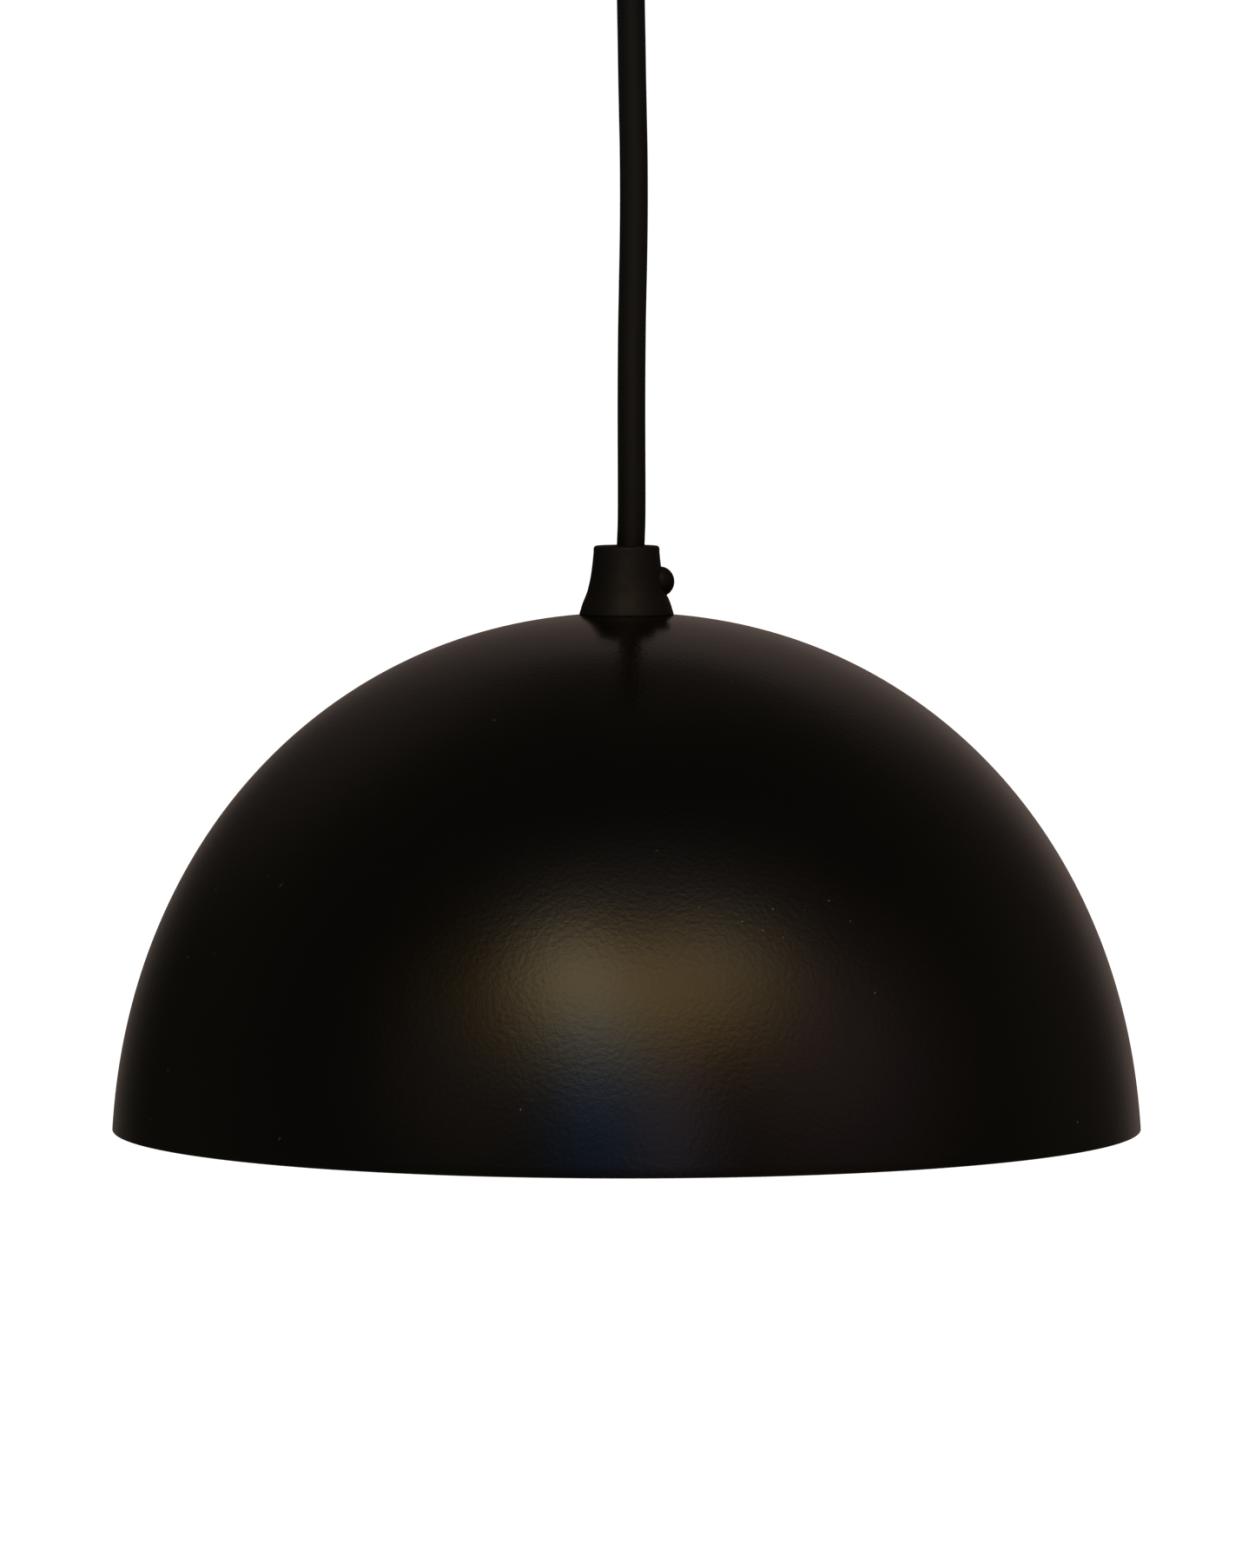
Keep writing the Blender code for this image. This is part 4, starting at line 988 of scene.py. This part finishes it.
def make_holder_wires():
    """The cord's sheathed end, and its three cores. Two of them hook round the terminal screws."""
    sheath_end = NIPPLE_END_Z + 0.0015
    route = [
        (CORD_OFFSET, 0, SHADE_MOUTH_Z - GRIP_PIVOT_DEPTH - CORD_END_CLEARANCE),
        (0.0007, 0, SHADE_MOUTH_Z - 0.006),
        (0.0003, 0, SHADE_GRIP_Z + 0.004),
        (0, 0, SHADE_TOP_Z - 0.003),
        (0, 0, sheath_end),
    ]
    make_tube("shade_sheath_end", "shade_cord_tail", route, TAIL_RADIUS, 32)
    start = sheath_end - FIT_GAP
    end = INSERT_TOP_Z + CORE_RADIUS + FIT_GAP
    for side, name in HOLDER_POLES:
        route = [(side * 0.0021, 0, start), (side * 0.0024, 0, start - 0.003)]
        route += [(side * 0.0040, 0, end + 0.0022), (side * 0.0060, 0, end + 0.0006)]
        under, hook = INSERT_TOP_Z + 0.00075, 0.0019
        bare = [(side * 0.0052, 0, end + 0.0010), (side * 0.0061, -0.0008, end - 0.0002)]
        bare.append((side * 0.0070, -0.0017, under))
        for angle in range(235, 500, 24):
            turn = math.radians(angle)
            bare.append((side * (TERMINAL_X + hook * math.cos(turn)), hook * math.sin(turn), under))
        make_wire(f"holder_wire_{name}", f"holder_core_{name}", route, bare)
    route = [(0, 0.0021, start), (0, 0.0024, start - 0.003)]
    route += [(0, 0.0052, start - 0.0053), (0, 0.0092, start - 0.0045)]
    bare = [(0, 0.0084, start - 0.0046), (0, 0.0096, start - 0.0042), (0, 0.0102, start - 0.0033)]
    make_wire("holder_wire_earth", "holder_core_earth", route, bare)


# -------- lamp
def make_lamp_cap():
    """The solder contact, the black glass cone and the threaded cap, from the tip down."""
    tip, seat, cap_top = LAMP_TIP_Z, LAMP_SEAT_Z, LAMP_CAP_Z
    disc_z = tip - 0.0014
    outline = [(0, tip), (0.0016, tip - 0.00005), (0.003, tip - 0.0002), (0.0044, tip - 0.0009)]
    outline += [(0.0044, disc_z), (0, disc_z)]
    outline = softened(outline, 0.0003, above=8)
    stand_in(lathe("lamp_solder_contact", outline, 48), "lamp_centre_contact")

    top, bottom = disc_z - FIT_GAP, cap_top + FIT_GAP
    outline = softened([(0, top), (0.0052, top), (0.0098, bottom), (0, bottom)], 0.0005)
    stand_in(lathe("lamp_glass_cone", outline, 72), "lamp_insulator")

    shoulder, thread_end = cap_top - 0.0025, seat + 0.0042
    outline = [(0, cap_top), (0.0102, cap_top), (0.0112, cap_top - 0.00035), (0.0123, cap_top - 0.0011)]
    outline += [(LAMP_CAP_RADIUS, z) for z in levels(shoulder, thread_end, LAMP_THREAD_PITCH / 14)]
    outline += [(0.0127, thread_end - 0.0006), (0.0127, seat + 0.0011), (LAMP_CAP_RADIUS, seat + 0.0007)]
    outline += [(LAMP_CAP_RADIUS, seat), (0, seat)]
    form = threading(LAMP_THREAD_PITCH, 0.0012, (LAMP_CAP_RADIUS,), shoulder + 0.0006, thread_end - 0.0001)
    cap = lathe("lamp_threaded_cap", outline, 96, form=form, smooth_below=50)
    stand_in(cap, "lamp_screw_cap")


def make_lamp_globe():
    """The tapered collar and the opal globe."""
    low, high = span("lamp_globe")
    globe_z = low + LAMP_GLOBE_RADIUS
    top, neck_z = LAMP_SEAT_Z - FIT_GAP, high + FIT_GAP
    outline = [(0, top), (0.0136, top), (0.0148, LAMP_SEAT_Z - 0.003)]
    outline += [(LAMP_NECK_RADIUS, neck_z + 0.0009), (LAMP_NECK_RADIUS, neck_z), (0, neck_z)]
    outline = softened(outline, 0.0008, steps=5, above=8)
    stand_in(lathe("lamp_tapered_collar", outline, 96), "lamp_collar")

    start = math.degrees(math.asin((high - globe_z) / LAMP_GLOBE_RADIUS))
    outline = [(0, high), *arc((0, globe_z), LAMP_GLOBE_RADIUS, start, -90, 48)[:-1], (0, low)]
    globe = lathe("lamp_opal_globe", softened(outline, 0.0003), 120)
    stand_in(globe, "lamp_globe")


# -------- the floor and the light
def make_floor():
    """A plain pale floor, far below. The room's own lower half gives its light to the object."""
    mesh = bpy.data.meshes.new("floor")
    half, drop = 600.0, 4.3
    corners = [(-half, -half, 0), (half, -half, 0), (half, half, 0), (-half, half, 0)]
    mesh.from_pydata(corners, [], [(0, 1, 2, 3)])
    floor = in_scene("floor", mesh)
    floor.location.z = -drop
    material = bpy.data.materials.new("pale_floor")
    nodes = Nodes(material)
    glow = {"Emission Color": rgb(1, 1, 1), "Emission Strength": 1.0}
    nodes.put(nodes.shader, {"Base Color": rgb(0.9, 0.9, 0.9), **glow})
    mesh.materials.append(material)
    floor.visible_diffuse = floor.visible_glossy = floor.visible_shadow = False
    floor.visible_transmission = False


def soft_light(name, at, towards, width, height, colour, radiance):
    """A soft panel that gives the same light from every point of it. The gloss doesn't mirror its edge."""
    data = bpy.data.lights.new(name, "AREA")
    data.shape = "ELLIPSE"
    data.size, data.size_y = width, height
    data.color = colour
    area = width * height * math.pi / 4
    data.energy = radiance * math.pi * area
    light = in_scene(name, data)
    light.location = at
    light.rotation_mode = "QUATERNION"
    light.rotation_quaternion = (Vector(towards) - Vector(at)).to_track_quat("-Z", "Y")
    light.visible_camera = light.visible_glossy = False


def make_lights():
    middle = (0, 0, SHADE_RIM_Z + 0.06)
    soft_light("fill_below", (0.25, -0.75, -1.9), middle, 1.5, 1.5, (1.0, 0.97, 0.93), 1.1)
    soft_light("fill_behind", (-0.8, 2.4, -1.5), middle, 1.6, 1.2, (1.0, 0.95, 0.90), 0.9)


REAR_WALL = 172  # the azimuth of the wall behind the object, which glows up to its ceiling
# The room's soft glows, as seen from the object: azimuth (0 is the camera's side, 90 is +X), elevation,
# half width and half height in degrees, and how bright each is in red, green and blue.
GLOWS = [
    (-15.4, 39.4, 14.8, 9.6, (1.44, 1.21, 0.79)),
    (20.3, 39.7, 22.5, 10.8, (0.74, 0.61, 0.40)),
    (1.9, 33.7, 33.5, 12.3, (1.29, 0.74, 0.13)),
    (-7.7, 27.2, 13.5, 7.2, (0.25, 0.43, 0.45)),
    (-6.6, 16.6, 9.7, 16.0, (0.00, 0.18, 0.47)),
    (9.5, 10.8, 9.0, 15.0, (0.30, 0.25, 0.34)),
    (-34.2, 19.7, 23.0, 19.0, (0.110, 0.085, 0.082)),
    (46.9, 20.9, 27.5, 20.5, (0.227, 0.145, 0.150)),
    (5.2, 54.3, 44.5, 13.3, (0.118, 0.105, 0.115)),
    (REAR_WALL, 24, 26, 52, (0.150, 0.110, 0.100)),
    (164, 3, 15, 14, (0.040, 0.030, 0.024)),
    (-172, -3, 17, 10, (0.040, 0.031, 0.026)),
    (125, 14, 26, 22, (0.020, 0.014, 0.011)),
    (-148, 40, 26, 20, (0.060, 0.045, 0.042)),
    (150, 42, 26, 20, (0.022, 0.017, 0.016)),
]
GLOW_EDGE = 1.12  # 1 is a bell curve, and more has a flatter top and a firmer edge
CEILING_EDGE = (39, 54, 0.25)  # between these elevations the rear wall's glow falls to this share
ROOM_LEVEL = (0.047, 0.042, 0.031)
ROOM_BEHIND = 0.42  # the share of that level at the back
FLOOR_LEVEL = (0.62, 0.60, 0.57)
FLOOR_EDGE = (-0.62, -0.28)  # the heights, of 1, between which the floor turns into the room


def make_room():
    """White behind the object for the camera, and a dim warm room with soft glows for reflections."""
    world = bpy.data.worlds.new("room")
    SCENE.world = world
    room = Nodes(world)
    x, y, z = room.add("SeparateXYZ", {0: room.where}).outputs
    light = room.scaled(ROOM_LEVEL, room.ramp(y, 0.20, 0.80, 1.0, ROOM_BEHIND))
    degrees = math.degrees(1)
    azimuth = room.times(room.math("ARCTAN2", x, room.times(y, -1.0)), degrees)
    elevation = room.times(room.math("ARCSINE", z), degrees)
    for at_azimuth, at_elevation, half_width, half_height, colour in GLOWS:
        turn = room.math("WRAP", room.math("SUBTRACT", azimuth, at_azimuth), 180.0, -180.0)
        across = room.math("DIVIDE", turn, half_width)
        up = room.math("DIVIDE", room.math("SUBTRACT", elevation, at_elevation), half_height)
        away = room.math("ADD", room.times(across, across), room.times(up, up))
        glow = room.math("EXPONENT", room.times(room.math("POWER", away, GLOW_EDGE), -1.0))
        if at_azimuth == REAR_WALL:
            low, high, share = CEILING_EDGE
            glow = room.times(glow, room.ramp(elevation, low, high, 1.0, share))
        light = room.add("VectorMath", {0: light, 1: room.scaled(colour, glow)}).outputs[0]
    colour = room.mix(room.ramp(z, *FLOOR_EDGE, 1.0, 0.0), light, rgb(*FLOOR_LEVEL))
    seen = room.add("Background", {"Color": rgb(1, 1, 1), "Strength": 1.0})
    lit = room.add("Background", {"Color": colour, "Strength": 1.0})
    direct = room.add("LightPath").outputs["Is Camera Ray"]
    chosen = room.add("MixShader", {0: direct, 1: lit.outputs[0], 2: seen.outputs[0]})
    room.add("OutputWorld", {"Surface": chosen.outputs[0]})
    SCENE.view_settings.view_transform = "Standard"
    SCENE.view_settings.look = "None"


# -------- all of it
make_camera()
make_cord()
make_shade()
make_grips()
make_screws()
make_canopy()
make_holder()
make_lamp_cap()
make_lamp_globe()
make_floor()
make_lights()
make_room()
